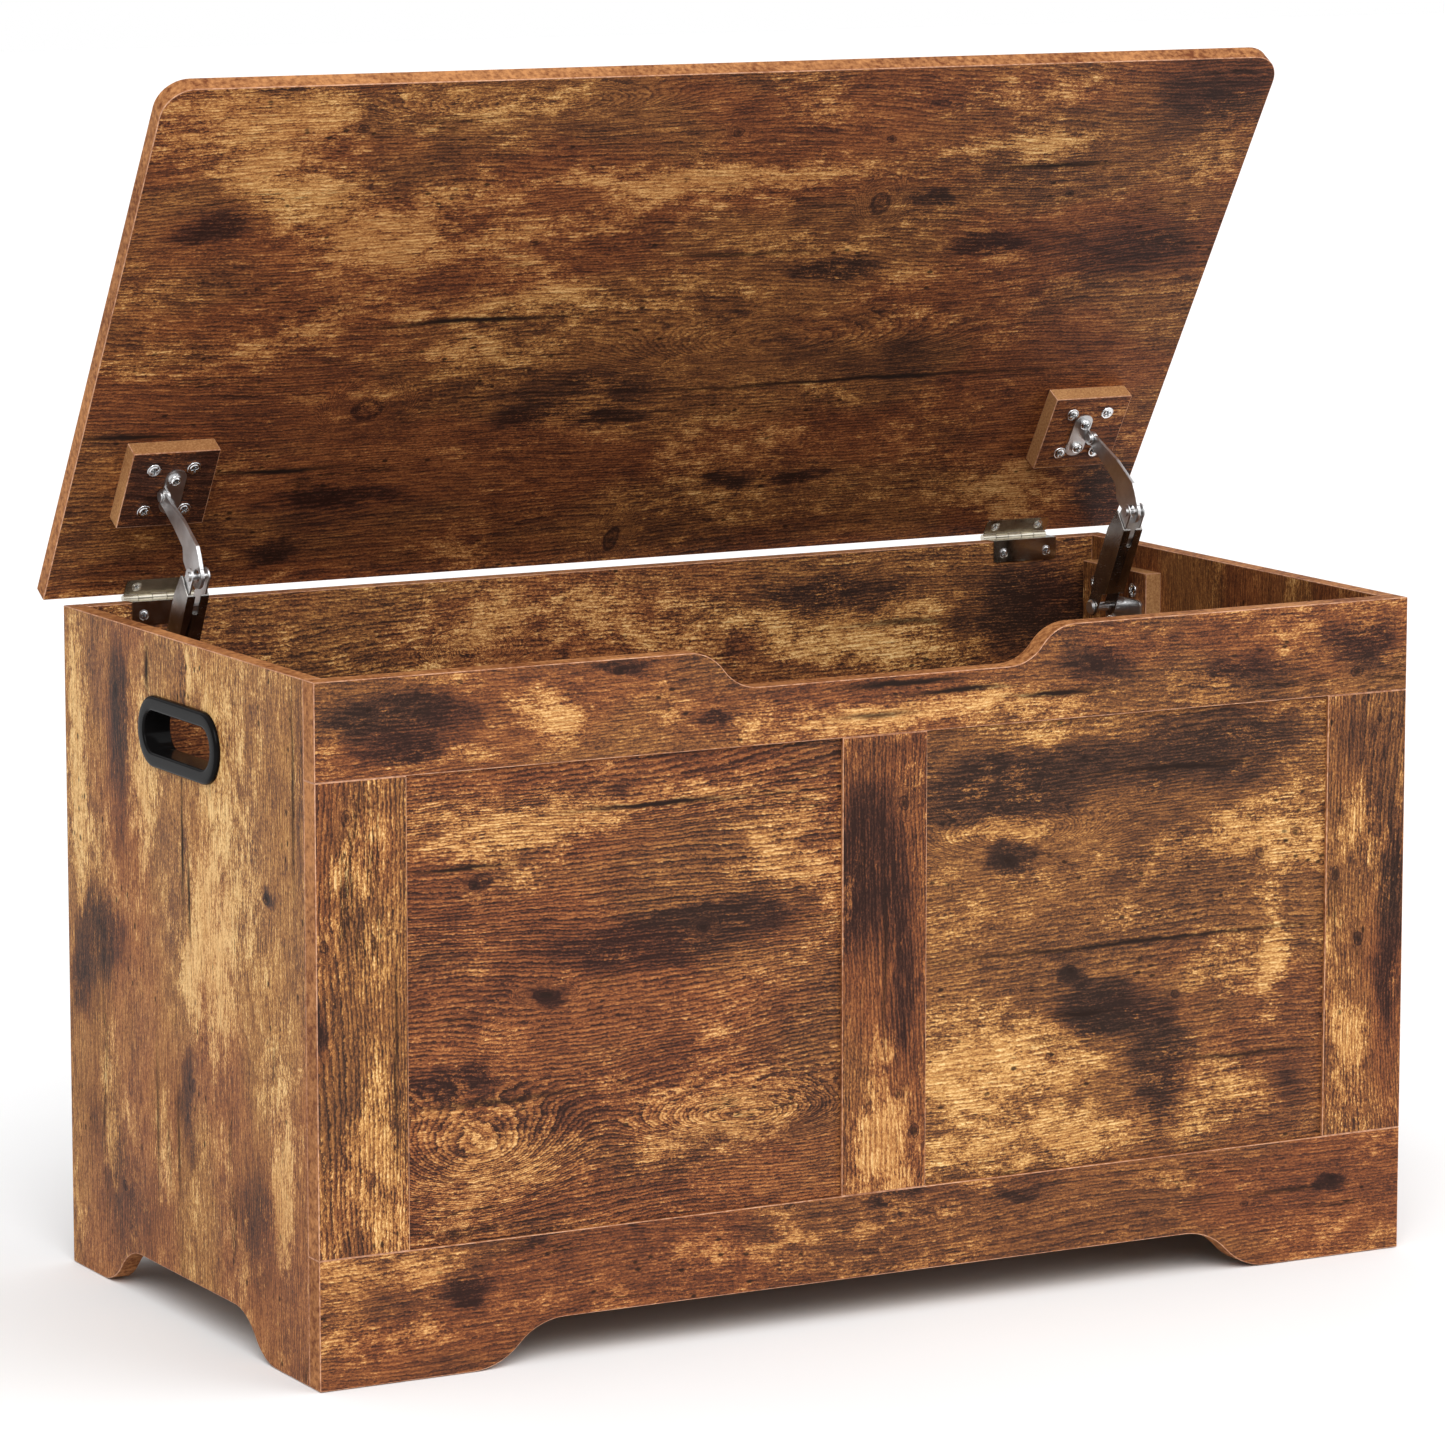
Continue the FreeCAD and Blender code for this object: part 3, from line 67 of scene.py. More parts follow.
MM = 0.001
SIDES = {"left": -1, "right": 1}
REST_ANGLE = math.radians(58.4)
LID_FORWARD = Vector((0, -math.cos(REST_ANGLE), math.sin(REST_ANGLE)))
LID_INWARD = Vector((0, -math.sin(REST_ANGLE), -math.cos(REST_ANGLE)))
X, Y, Z = Vector((1, 0, 0)), Vector((0, 1, 0)), Vector((0, 0, 1))
body_of_node = {name: item["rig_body"] for name, item in frame["nodes"].items()}
slot_of_node = {row["node"]: row["material_slot"] for row in frame["record"]["subparts"]}


# ---------------------------------------------------------------- shader helpers

class Graph:
    """Short calls for building a node tree. A socket or a plain value may be given as an input."""

    def __init__(self, tree):
        self.tree = tree

    def give(self, socket, value):
        """Link a socket to an input, or set the input to a plain value."""
        if isinstance(value, bpy.types.NodeSocket):
            self.tree.links.new(value, socket)
        else:
            socket.default_value = value

    def add(self, kind, **settings):
        """A new node with its settings."""
        item = self.tree.nodes.new(kind)
        for name, value in settings.items():
            setattr(item, name, value)
        return item

    def math(self, operation, first, second=0.0, third=0.0, clamp=False):
        """The result of a number operation."""
        item = self.add("ShaderNodeMath", operation=operation, use_clamp=clamp)
        for socket, value in zip(item.inputs, (first, second, third)):
            self.give(socket, value)
        return item.outputs[0]

    def vector(self, operation, first, second=(0, 0, 0)):
        """The result of a vector operation: a number for LENGTH, or else a vector."""
        item = self.add("ShaderNodeVectorMath", operation=operation)
        self.give(item.inputs[0], first)
        self.give(item.inputs[1], second)
        return item.outputs["Value" if operation == "LENGTH" else "Vector"]

    def noise(self, place, stretch=(1, 1, 1), detail=4.0, rough=0.55, colour=False):
        """Noise whose features repeat about stretch times in a metre, along each axis."""
        item = self.add("ShaderNodeTexNoise")
        self.give(item.inputs["Vector"], self.vector("MULTIPLY", place, stretch))
        item.inputs["Scale"].default_value = 1
        item.inputs["Detail"].default_value = detail
        item.inputs["Roughness"].default_value = rough
        return item.outputs["Color" if colour else "Fac"]

    def remap(self, value, low, high, to_low=0.0, to_high=1.0):
        """A smooth step from to_low at low to to_high at high."""
        item = self.add("ShaderNodeMapRange", interpolation_type="SMOOTHSTEP")
        for socket, given in zip(item.inputs, (value, low, high, to_low, to_high)):
            self.give(socket, given)
        return item.outputs["Result"]

    def ramp(self, value, stops):
        """The colour at a value from 0 to 1, between stops of (position, colour)."""
        item = self.add("ShaderNodeValToRGB")
        elements = item.color_ramp.elements
        while len(elements) < len(stops):
            elements.new(0.5)
        for element, (position, colour) in zip(elements, stops):
            element.position = position
            element.color = (*colour, 1)
        self.give(item.inputs["Fac"], value)
        return item.outputs["Color"]

    def mix(self, share, first, second):
        """The first colour where share is 0, and the second where it is 1."""
        item = self.add("ShaderNodeMix", data_type="RGBA")
        colours = [socket for socket in item.inputs if socket.type == "RGBA"]
        self.give(item.inputs["Factor"], share)
        for socket, value in zip(colours, (first, second)):
            self.give(socket, (*value, 1) if isinstance(value, tuple) else value)
        return next(socket for socket in item.outputs if socket.type == "RGBA")

    def bump(self, height, depth, strength):
        """A normal for relief that is depth metres deep."""
        item = self.add("ShaderNodeBump")
        item.inputs["Distance"].default_value = depth
        item.inputs["Strength"].default_value = strength
        self.give(item.inputs["Height"], height)
        return item.outputs["Normal"]


def material(name):
    """A new material with its graph and its shader."""
    made = bpy.data.materials.new(name)
    made.use_nodes = True
    shader = made.node_tree.nodes["Principled BSDF"]
    return made, Graph(made.node_tree), shader


# ---------------------------------------------------------------- printed laminate

# the print's colours from its darkest tone to its lightest, in yellower and in redder places
OCHRE = [
    (0.00, (0.022, 0.010, 0.006)),
    (0.14, (0.052, 0.023, 0.014)),
    (0.30, (0.120, 0.046, 0.018)),
    (0.46, (0.245, 0.096, 0.030)),
    (0.62, (0.430, 0.195, 0.056)),
    (0.80, (0.640, 0.350, 0.115)),
    (1.00, (0.880, 0.600, 0.270)),
]
RUSSET = [
    (0.00, (0.024, 0.008, 0.005)),
    (0.18, (0.068, 0.023, 0.013)),
    (0.40, (0.185, 0.055, 0.019)),
    (0.65, (0.390, 0.142, 0.044)),
    (1.00, (0.720, 0.370, 0.130)),
]
DARK_MARK = (0.016, 0.007, 0.004)
RINGS_PER_METRE = 130
FINE_LINES = 3.0  # fine lines to each ring
PLAIN_TONE = 0.46  # tone of the print where nothing marks it
GOLD_TONE = 0.32  # how far a golden place is lighter
DARK_TONE = 0.36  # how far a dark place is darker
KNOT_RING = 0.62  # strength of a knot's field where its dark ring lies
LAMINATE_INPUTS = {
    "Position": "Vector", "Seed": "Vector", "Gold": "Float", "Dark": "Float", "Knot": "Float",
    "Crack": "Float", "Shade": "Float", "Redness": "Float", "Lines": "Float", "Contrast": "Float",
}
LAMINATE_OUTPUTS = {"Color": "Color", "Roughness": "Float", "Height": "Float"}


def laminate_group():
    """Rustic wood print. Position is in metres, X along the grain and Y across it."""
    tree = bpy.data.node_groups.new("rustic_print", "ShaderNodeTree")
    for way, sockets in (("INPUT", LAMINATE_INPUTS), ("OUTPUT", LAMINATE_OUTPUTS)):
        for name, kind in sockets.items():
            tree.interface.new_socket(name, in_out=way, socket_type=f"NodeSocket{kind}")
    g = Graph(tree)
    given = g.add("NodeGroupInput").outputs
    place = g.vector("ADD", given["Position"], given["Seed"])
    sway = g.vector("SUBTRACT", g.noise(place, (3, 9, 3), 3, colour=True), (0.5, 0.5, 0.5))
    place = g.vector("ADD", place, g.vector("MULTIPLY", sway, (0.05, 0.014, 0)))

    def field(start, *patterns):
        """A start value with patterns of noise added, each with its weight."""
        for pattern, weight in patterns:
            start = g.math("MULTIPLY_ADD", g.math("SUBTRACT", pattern, 0.5), weight, start)
        return start

    # golden and dark places, with frayed edges
    clouds = g.noise(place, (6, 11, 6), 3, 0.6)
    patches = g.noise(place, (9, 16, 9), 6, 0.66)
    worn = g.noise(place, (26, 46, 26), 7, 0.9)
    dashes = g.noise(place, (60, 560, 60), 3, 0.75)
    speckle = g.noise(place, (420, 800, 420), 2, 0.8)
    gold = field(given["Gold"], (patches, 1.7), (worn, 1.5), (dashes, 0.4), (speckle, 0.5))
    gold = g.remap(gold, 0.04, 0.42)
    dark = field(given["Dark"], (clouds, 1.5), (worn, 1.1), (speckle, 0.2))
    dark = g.remap(dark, 0.06, 0.5)

    # growth rings, which bend round the knots, and finer lines between them
    lift = g.noise(place, (2.4, 8, 2.4), 2, 0.45)
    rings = g.math("MULTIPLY_ADD", lift, 9.0, g.math("MULTIPLY", given["Knot"], 13.0))
    across = g.add("ShaderNodeSeparateXYZ")
    g.give(across.inputs[0], place)
    rings = g.math("MULTIPLY_ADD", across.outputs["Y"], RINGS_PER_METRE, rings)
    rings = g.math("MULTIPLY_ADD", worn, 1.2, rings)
    saw = g.math("FRACT", rings)
    late_wood = g.math("MULTIPLY", g.remap(saw, 0.35, 0.86), g.remap(saw, 1.0, 0.9))
    fine_saw = g.math("FRACT", g.math("MULTIPLY", rings, FINE_LINES))
    fine_lines = g.math("MULTIPLY", g.remap(fine_saw, 0.3, 0.8), g.remap(fine_saw, 1.0, 0.88))
    where = g.remap(g.noise(place, (4, 16, 4), 3), 0.36, 0.6)
    late_wood = g.math("MULTIPLY", late_wood, g.math("MULTIPLY", where, given["Lines"]))
    fine_lines = g.math("MULTIPLY", fine_lines, given["Lines"])

    # how light the print is, from all of these
    tone = field(0.0, (clouds, 0.4), (worn, 1.0), (dashes, 0.95), (speckle, 0.9))
    tone = g.math("MULTIPLY_ADD", fine_lines, -0.22, tone)
    tone = g.math("MULTIPLY", tone, given["Contrast"])
    tone = g.math("MULTIPLY_ADD", late_wood, -0.14, tone)
    tone = g.math("MULTIPLY_ADD", gold, GOLD_TONE, tone)
    tone = g.math("MULTIPLY_ADD", dark, -DARK_TONE, tone)
    ring_mark = g.math("ABSOLUTE", g.math("SUBTRACT", given["Knot"], KNOT_RING))
    ring_mark = g.remap(ring_mark, 0.08, 0.01)
    halo = g.math("MULTIPLY_ADD", g.remap(given["Knot"], 0.45, 0.8), 0.16,
                  g.math("MULTIPLY", ring_mark, 0.22))
    tone = g.math("SUBTRACT", tone, halo)
    tone = g.math("ADD", g.math("ADD", tone, given["Shade"]), PLAIN_TONE, clamp=True)

    # redder places, away from the gold
    red = g.remap(g.noise(place, (4, 9, 4), 3), 0.42, 0.58)
    red = g.math("MULTIPLY", red, g.math("SUBTRACT", 1.0, g.math("MULTIPLY", gold, 0.6)))
    red = g.math("MULTIPLY_ADD", red, 0.8, given["Redness"], clamp=True)
    colour = g.mix(red, g.ramp(tone, OCHRE), g.ramp(tone, RUSSET))

    # dark marks: pores, splits, worm holes and the hearts of knots
    pores = g.remap(g.noise(place, (60, 1300, 60), 2, 0.5), 0.58, 0.68)
    split = g.math("ABSOLUTE", g.math("SUBTRACT", g.noise(place, (9, 95, 9), 6, 0.66), 0.5))
    split_where = g.remap(g.noise(place, (6, 26, 6), 2), 0.6, 0.68)
    splits = g.math("MULTIPLY", g.remap(split, 0.02, 0.004), split_where)
    splits = g.math("MAXIMUM", splits, given["Crack"])
    cells = g.add("ShaderNodeTexVoronoi", feature="F1")
    g.give(cells.inputs["Vector"], g.vector("MULTIPLY", place, (105, 190, 105)))
    cells.inputs["Scale"].default_value = 1
    rare = g.add("ShaderNodeSeparateColor")
    g.give(rare.inputs[0], cells.outputs["Color"])
    holes = g.math("MULTIPLY", g.remap(cells.outputs["Distance"], 0.30, 0.14),
                   g.remap(rare.outputs[0], 0.76, 0.78))
    holes = g.math("MULTIPLY", holes, g.remap(g.noise(place, (7, 18, 7), 2), 0.48, 0.6))
    core = g.math("MULTIPLY", g.remap(given["Knot"], 0.70, 0.84), 0.8)
    marks = g.math("MAXIMUM", g.math("MAXIMUM", splits, holes), core)
    colour = g.mix(g.math("MULTIPLY", pores, 0.35), colour, DARK_MARK)
    colour = g.mix(g.math("MULTIPLY", marks, 0.88), colour, DARK_MARK)

    height = g.math("MULTIPLY_ADD", pores, -0.5, g.math("MULTIPLY", speckle, 0.35))
    rough = g.math("MULTIPLY_ADD", clouds, 0.25, 0.42)
    rough = g.math("MULTIPLY_ADD", pores, 0.12, rough)
    rough = g.math("MULTIPLY_ADD", marks, 0.15, rough)
    result = g.add("NodeGroupOutput").inputs
    g.give(result["Color"], colour)
    g.give(result["Roughness"], rough)
    g.give(result["Height"], height)
    return tree


LAMINATE = laminate_group()

# Marks in each board's print: gold, dark, knot or crack, then millimetres along the grain and
# across it, half length, half width and strength.
FIGURE = {
    "lid_panel": [
        ("gold", 75, 345, 90, 50, 0.40), ("gold", 190, 270, 110, 40, 0.42),
        ("gold", 400, 312, 150, 12, 0.40), ("gold", 280, 225, 110, 22, 0.26),
        ("gold", 620, 45, 150, 26, 0.26), ("gold", 610, 330, 90, 14, 0.26),
        ("gold", 60, 245, 60, 26, 0.30), ("gold", 250, 372, 70, 12, 0.24),
        ("dark", 52, 284, 30, 14, 0.60), ("dark", 505, 237, 34, 10, 0.55),
        ("dark", 622, 250, 26, 10, 0.60), ("dark", 178, 70, 50, 9, 0.62),
        ("dark", 474, 65, 26, 9, 0.60), ("dark", 528, 62, 24, 8, 0.60),
        ("dark", 150, 25, 26, 9, 0.60), ("dark", 372, 122, 34, 9, 0.60),
        ("dark", 270, 150, 150, 26, 0.34), ("dark", 715, 240, 110, 38, 0.34),
        ("dark", 750, 350, 70, 46, 0.36), ("dark", 305, 122, 34, 8, 0.5),
        ("dark", 620, 150, 120, 30, 0.26), ("dark", 200, 335, 24, 8, 0.4),
        ("dark", 780, 30, 24, 34, 0.5), ("dark", 566, 292, 18, 7, 0.7),
        ("knot", 527, 286, 15, 19, 0.74), ("knot", 490, 172, 110, 22, 0.50),
        ("knot", 402, 18, 12, 22, 0.76), ("knot", 195, 140, 26, 20, 0.72),
        ("knot", 404, 347, 7, 6, 0.85), ("knot", 520, 337, 6, 5, 0.85),
        ("knot", 670, 287, 6, 5, 0.85), ("knot", 280, 265, 7, 5, 0.85),
        ("knot", 250, 372, 90, 14, 0.45), ("knot", 140, 358, 8, 6, 0.8),
        ("crack", 250, 206, 70, 2.4, 1.4), ("crack", 140, 94, 46, 2.4, 1.4),
        ("crack", 655, 311, 50, 2.4, 1.2), ("crack", 560, 142, 170, 2, 1.2),
        ("crack", 30, 128, 40, 2.4, 1.4), ("crack", 430, 250, 60, 2, 0.9),
    ],
    "front_left_infill": [
        ("gold", 262, 212, 50, 16, 0.42), ("gold", 110, 262, 170, 16, 0.24),
        ("gold", 60, 45, 60, 26, 0.22), ("gold", 215, 66, 80, 26, 0.24),
        ("gold", 30, 270, 40, 30, 0.24), ("dark", 150, 275, 30, 12, 0.36),
        ("dark", 30, 100, 44, 12, 0.66), ("dark", 210, 186, 60, 9, 0.60),
        ("dark", 52, 222, 16, 9, 0.60), ("dark", 100, 152, 18, 8, 0.60),
        ("dark", 160, 176, 130, 14, 0.34), ("dark", 100, 60, 30, 30, 0.3),
        ("knot", 98, 152, 17, 6, 0.85), ("knot", 35, 12, 9, 8, 0.85),
        ("knot", 235, 64, 64, 16, 0.55), ("knot", 50, 60, 60, 34, 0.5),
        ("knot", 206, 183, 9, 5, 0.85), ("knot", 50, 222, 7, 5, 0.85),
        ("crack", 175, 262, 60, 2, 1.4), ("crack", 40, 234, 34, 2, 1.2),
        ("crack", 70, 90, 60, 2.2, 1.0),
    ],
    "front_right_infill": [
        ("dark", 200, 262, 130, 30, 0.42), ("dark", 50, 258, 70, 26, 0.48),
        ("dark", 130, 110, 34, 24, 0.66), ("dark", 190, 190, 60, 40, 0.34),
        ("dark", 66, 205, 16, 10, 0.62), ("dark", 112, 132, 12, 9, 0.60),
        ("dark", 180, 60, 26, 70, 0.40), ("dark", 280, 40, 30, 50, 0.32),
        ("gold", 248, 210, 56, 26, 0.50), ("gold", 50, 70, 70, 40, 0.42),
        ("gold", 210, 45, 50, 24, 0.34), ("gold", 264, 130, 14, 50, 0.42),
        ("gold", 60, 226, 40, 8, 0.36), ("gold", 130, 24, 90, 16, 0.26),
        ("knot", 66, 206, 10, 7, 0.85), ("knot", 112, 132, 8, 7, 0.85),
        ("knot", 190, 108, 6, 5, 0.8), ("knot", 280, 206, 8, 6, 0.85),
        ("knot", 75, 220, 60, 16, 0.5), ("knot", 252, 194, 7, 6, 0.8),
        ("crack", 160, 146, 150, 1.8, 1.2), ("crack", 190, 256, 60, 2.2, 1.2),
        ("crack", 240, 66, 60, 2, 1.0), ("crack", 120, 104, 22, 2.8, 1.4),
    ],
    "front_top_rail": [
        ("dark", 50, 36, 60, 18, 0.66), ("dark", 60, 14, 30, 9, 0.60),
        ("dark", 205, 55, 26, 6, 0.62), ("dark", 270, 18, 18, 5, 0.70),
        ("dark", 545, 34, 40, 18, 0.50), ("dark", 640, 20, 70, 16, 0.46),
        ("dark", 738, 34, 34, 20, 0.56), ("gold", 160, 26, 26, 24, 0.40),
        ("gold", 430, 14, 200, 16, 0.42), ("gold", 90, 8, 60, 8, 0.3),
        ("knot", 540, 32, 10, 8, 0.74), ("knot", 735, 14, 9, 6, 0.85), ("knot", 204, 53, 10, 5, 0.8),
        ("crack", 400, 32, 50, 2.2, 1.4), ("crack", 440, 24, 40, 2, 1.4),
        ("crack", 510, 17, 34, 2.4, 1.4), ("crack", 380, 12, 30, 2.4, 1.0),
    ],
    "front_bottom_rail": [
        ("dark", 98, 52, 26, 14, 0.70), ("dark", 395, 76, 30, 4, 0.70),
        ("dark", 145, 76, 16, 5, 0.60), ("dark", 480, 70, 30, 7, 0.50),
        ("dark", 722, 50, 12, 7, 0.60), ("dark", 205, 76, 10, 4, 0.6),
        ("gold", 610, 62, 60, 10, 0.28), ("gold", 60, 26, 60, 10, 0.22),
        ("gold", 330, 58, 90, 5, 0.26), ("knot", 722, 52, 8, 6, 0.85),
        ("knot", 655, 42, 6, 4, 0.85), ("knot", 320, 78, 8, 4, 0.8),
        ("crack", 690, 48, 40, 2, 1.0),
    ],
    "front_left_stile": [
        ("gold", 235, 30, 60, 24, 0.34), ("gold", 50, 30, 50, 20, 0.24),
        ("dark", 140, 4, 30, 8, 0.70), ("dark", 170, 20, 30, 8, 0.24),
        ("knot", 266, 20, 10, 6, 0.8), ("knot", 190, 6, 8, 5, 0.8),
        ("crack", 120, 52, 60, 1.6, 0.9),
    ],
    "front_centre_stile": [
        ("dark", 215, 20, 60, 30, 0.52), ("dark", 140, 44, 70, 12, 0.40),
        ("gold", 30, 34, 36, 22, 0.52), ("gold", 85, 26, 20, 20, 0.40),
        ("knot", 36, 52, 8, 6, 0.9), ("knot", 60, 40, 6, 5, 0.85),
        ("knot", 244, 44, 8, 7, 0.85), ("crack", 150, 30, 60, 1.8, 1.0),
    ],
    "front_right_stile": [
        ("dark", 160, 50, 120, 10, 0.52), ("dark", 260, 20, 30, 14, 0.34),
        ("gold", 60, 20, 50, 14, 0.36), ("gold", 210, 22, 20, 14, 0.36),
        ("knot", 172, 8, 8, 6, 0.9), ("knot", 128, 26, 8, 6, 0.85), ("knot", 270, 40, 7, 5, 0.7),
    ],
    "left_side_panel": [
        ("gold", 340, 20, 110, 16, 0.50), ("gold", 330, 120, 60, 24, 0.46),
        ("gold", 300, 250, 110, 50, 0.34), ("gold", 240, 190, 90, 26, 0.36),
        ("gold", 130, 325, 70, 16, 0.30), ("gold", 100, 150, 50, 20, 0.24),
        ("dark", 370, 84, 80, 20, 0.66), ("dark", 225, 50, 30, 44, 0.60),
        ("dark", 290, 186, 40, 8, 0.46), ("dark", 290, 305, 10, 20, 0.60),
        ("dark", 60, 90, 60, 60, 0.42), ("dark", 80, 300, 60, 60, 0.34),
        ("dark", 410, 184, 16, 6, 0.8), ("dark", 150, 190, 46, 12, 0.46),
        ("dark", 340, 357, 90, 8, 0.40), ("dark", 190, 20, 24, 16, 0.4),
        ("knot", 288, 306, 7, 9, 0.85), ("knot", 68, 88, 7, 7, 0.8),
        ("knot", 385, 82, 10, 7, 0.8), ("knot", 152, 196, 10, 6, 0.76),
        ("crack", 300, 183, 44, 2.2, 1.2), ("crack", 270, 192, 30, 2.2, 1.2),
        ("crack", 120, 140, 50, 2.4, 0.9), ("crack", 405, 132, 16, 4.2, 1.2),
        ("crack", 110, 172, 40, 2.4, 0.9), ("crack", 360, 346, 60, 2.4, 1.0),
    ],
    "back_panel": [
        ("dark", 130, 340, 60, 24, 0.40), ("gold", 330, 365, 180, 22, 0.30),
        ("dark", 540, 372, 70, 16, 0.40), ("dark", 700, 352, 60, 36, 0.66),
        ("dark", 420, 330, 60, 12, 0.4), ("gold", 560, 340, 60, 16, 0.3),
        ("knot", 270, 352, 30, 14, 0.6), ("crack", 600, 350, 50, 2.4, 1.0),
    ],
}
# each board's shade, redness, strength of the grain lines and contrast
CHARACTER = {
    "lid_panel": (0.0, 0.25, 0.9, 0.95),
    "front_top_rail": (0.0, 0.05, 0.7, 1.0),
    "front_bottom_rail": (-0.02, 0.35, 0.8, 0.9),
    "back_panel": (0.02, 0.1, 0.7, 1.3),
    "front_left_infill": (0.03, 0.25, 1.4, 1.0),
    "front_right_infill": (0.0, -0.2, 0.8, 1.0),
    "left_side_panel": (0.12, 0.0, 0.4, 1.1),
    "right_side_panel": (0.0, 0.0, 0.5, 0.8),
    "front_left_stile": (0.03, 0.0, 1.3, 0.9),
    "left_lid_block": (-0.22, 0.7, 0.8, 0.7),
    "right_lid_block": (0.0, 0.5, 1.2, 0.8),
    "left_side_block": (0.05, 0.0, 0.6, 1.0),
    "right_side_block": (0.05, 0.0, 0.6, 1.0),
}
PLAIN_CHARACTER = (0.0, 0.1, 0.9, 1.0)
# how marks of one kind join where they meet
JOINED_BY = {"gold": "ADD", "dark": "ADD", "knot": "MAXIMUM", "crack": "MAXIMUM"}
FRAYED = ("gold", "dark")
FRAYED_DRIFT = (0.06, 0.040, 0)
CRISP_DRIFT = (0.010, 0.010, 0)
MARK_FADE = 1.5  # a mark ends at this many times its half size
SEED_STEP = (0.37, 0.53, 1.9)


def board_material(node):
    """The laminate of one board, with that board's own figure and seed."""
    made, g, shader = material(f"laminate_{node}")
    place = g.add("ShaderNodeAttribute", attribute_name="board").outputs["Vector"]
    number = sorted(frame["nodes"]).index(node)
    drift = g.vector("SUBTRACT", g.noise(place, (18, 34, 18), 5, 0.7, colour=True),
                     (0.5, 0.5, 0.5))
    frayed = g.vector("ADD", place, g.vector("MULTIPLY", drift, FRAYED_DRIFT))
    crisp = g.vector("ADD", place, g.vector("MULTIPLY", drift, CRISP_DRIFT))
    marks = {}
    for kind, along, across, length, width, strength in FIGURE.get(node, []):
        source = frayed if kind in FRAYED else crisp
        offset = g.vector("SUBTRACT", source, (along * MM, across * MM, 0))
        offset = g.vector("MULTIPLY", offset, (1000 / length, 1000 / width, 0))
        near = g.remap(g.vector("LENGTH", offset), MARK_FADE, 0.0)
        near = g.math("MULTIPLY", near, strength)
        marks[kind] = g.math(JOINED_BY[kind], marks[kind], near) if kind in marks else near
    pattern = g.add("ShaderNodeGroup", node_tree=LAMINATE)
    g.give(pattern.inputs["Position"], place)
    pattern.inputs["Seed"].default_value = [step * number for step in SEED_STEP]
    for kind, value in marks.items():
        g.give(pattern.inputs[kind.capitalize()], value)
    for name, value in zip(("Shade", "Redness", "Lines", "Contrast"),
                           CHARACTER.get(node, PLAIN_CHARACTER)):
        pattern.inputs[name].default_value = value
    g.give(shader.inputs["Base Color"], pattern.outputs["Color"])
    g.give(shader.inputs["Roughness"], pattern.outputs["Roughness"])
    g.give(shader.inputs["Normal"], g.bump(pattern.outputs["Height"], 0.0002, 0.6))
    shader.inputs["Specular IOR Level"].default_value = 0.15
    return made


def speckled(name, dark, light, stretch, roughness, specular=0.25, depth=0.0001):
    """A fine two-tone material for edge bands, bare board and raw timber."""
    made, g, shader = material(name)
    place = g.add("ShaderNodeTexCoord").outputs["Object"]
    broad = g.noise(place, (14, 14, 14), 4)
    fine = g.noise(place, stretch, 4, 0.65)
    share = g.math("MULTIPLY_ADD", g.math("SUBTRACT", fine, 0.5), 1.5, broad)
    g.give(shader.inputs["Base Color"], g.ramp(share, [(0.25, dark), (0.75, light)]))
    g.give(shader.inputs["Roughness"], g.math("MULTIPLY_ADD", fine, 0.3, roughness - 0.15))
    g.give(shader.inputs["Normal"], g.bump(fine, depth, 0.6))
    shader.inputs["Specular IOR Level"].default_value = specular
    return made


def metal(name, colour, tint, roughness, stretch=(300, 300, 300), variation=0.16, depth=0.000004):
    """A plated metal with cloudy plating, fine drawing marks and a little wear."""
    made, g, shader = material(name)
    place = g.add("ShaderNodeTexCoord").outputs["Object"]
    cloud = g.noise(place, (70, 70, 70), 5, 0.6)
    fine = g.noise(place, stretch, 4, 0.7)
    share = g.remap(cloud, 0.35, 0.68)
    g.give(shader.inputs["Base Color"], g.mix(share, colour, tint))
    rough = g.math("MULTIPLY_ADD", g.math("SUBTRACT", cloud, 0.5), variation, roughness)
    rough = g.math("MULTIPLY_ADD", g.math("SUBTRACT", fine, 0.5), variation, rough, clamp=True)
    g.give(shader.inputs["Roughness"], rough)
    g.give(shader.inputs["Normal"], g.bump(fine, depth, 0.5))
    shader.inputs["Metallic"].default_value = 1
    return made


def glossy_plastic():
    """Black moulded plastic with a faint grain in its gloss."""
    made, g, shader = material("black_plastic")
    place = g.add("ShaderNodeTexCoord").outputs["Object"]
    fine = g.noise(place, (900, 900, 900), 3, 0.6)
    cloud = g.noise(place, (45, 45, 45), 3)
    g.give(shader.inputs["Base Color"],
           g.mix(cloud, (0.003, 0.003, 0.003), (0.007, 0.006, 0.006)))
    g.give(shader.inputs["Roughness"], g.math("MULTIPLY_ADD", cloud, 0.10, 0.12))
    g.give(shader.inputs["Normal"], g.bump(fine, 0.00002, 0.5))
    shader.inputs["Specular IOR Level"].default_value = 0.05
    return made


EDGE_BAND = speckled("edge_band", (0.15, 0.042, 0.013), (0.50, 0.220, 0.080),
                     (260, 260, 260), 0.6, 0.08)
# paler colour for the eased edges: partly the paler cut of the trimmed edge, partly a painted
# highlight along the rounding
EDGE_LINE_AND_HIGHLIGHT = speckled("edge_line_and_highlight", (0.34, 0.140, 0.070), (0.70, 0.390, 0.240),
                     (300, 300, 300), 0.5, 0.15)
BARE_BOARD = speckled("bare_board", (0.29, 0.125, 0.045), (0.50, 0.260, 0.105),
                      (700, 700, 700), 0.8, 0.15, 0.0002)
TIMBER = speckled("raw_timber", (0.42, 0.25, 0.12), (0.64, 0.44, 0.25), (40, 400, 400), 0.75, 0.2)
NYLON = speckled("buffer_nylon", (0.60, 0.59, 0.55), (0.76, 0.75, 0.71), (300, 300, 300), 0.45, 0.4)
PLASTIC = glossy_plastic()
HINGE_NICKEL = metal("hinge_nickel", (0.42, 0.38, 0.31), (0.56, 0.52, 0.43), 0.15)
SCREW_ZINC = metal("screw_zinc", (0.78, 0.79, 0.80), (0.90, 0.90, 0.89), 0.20)
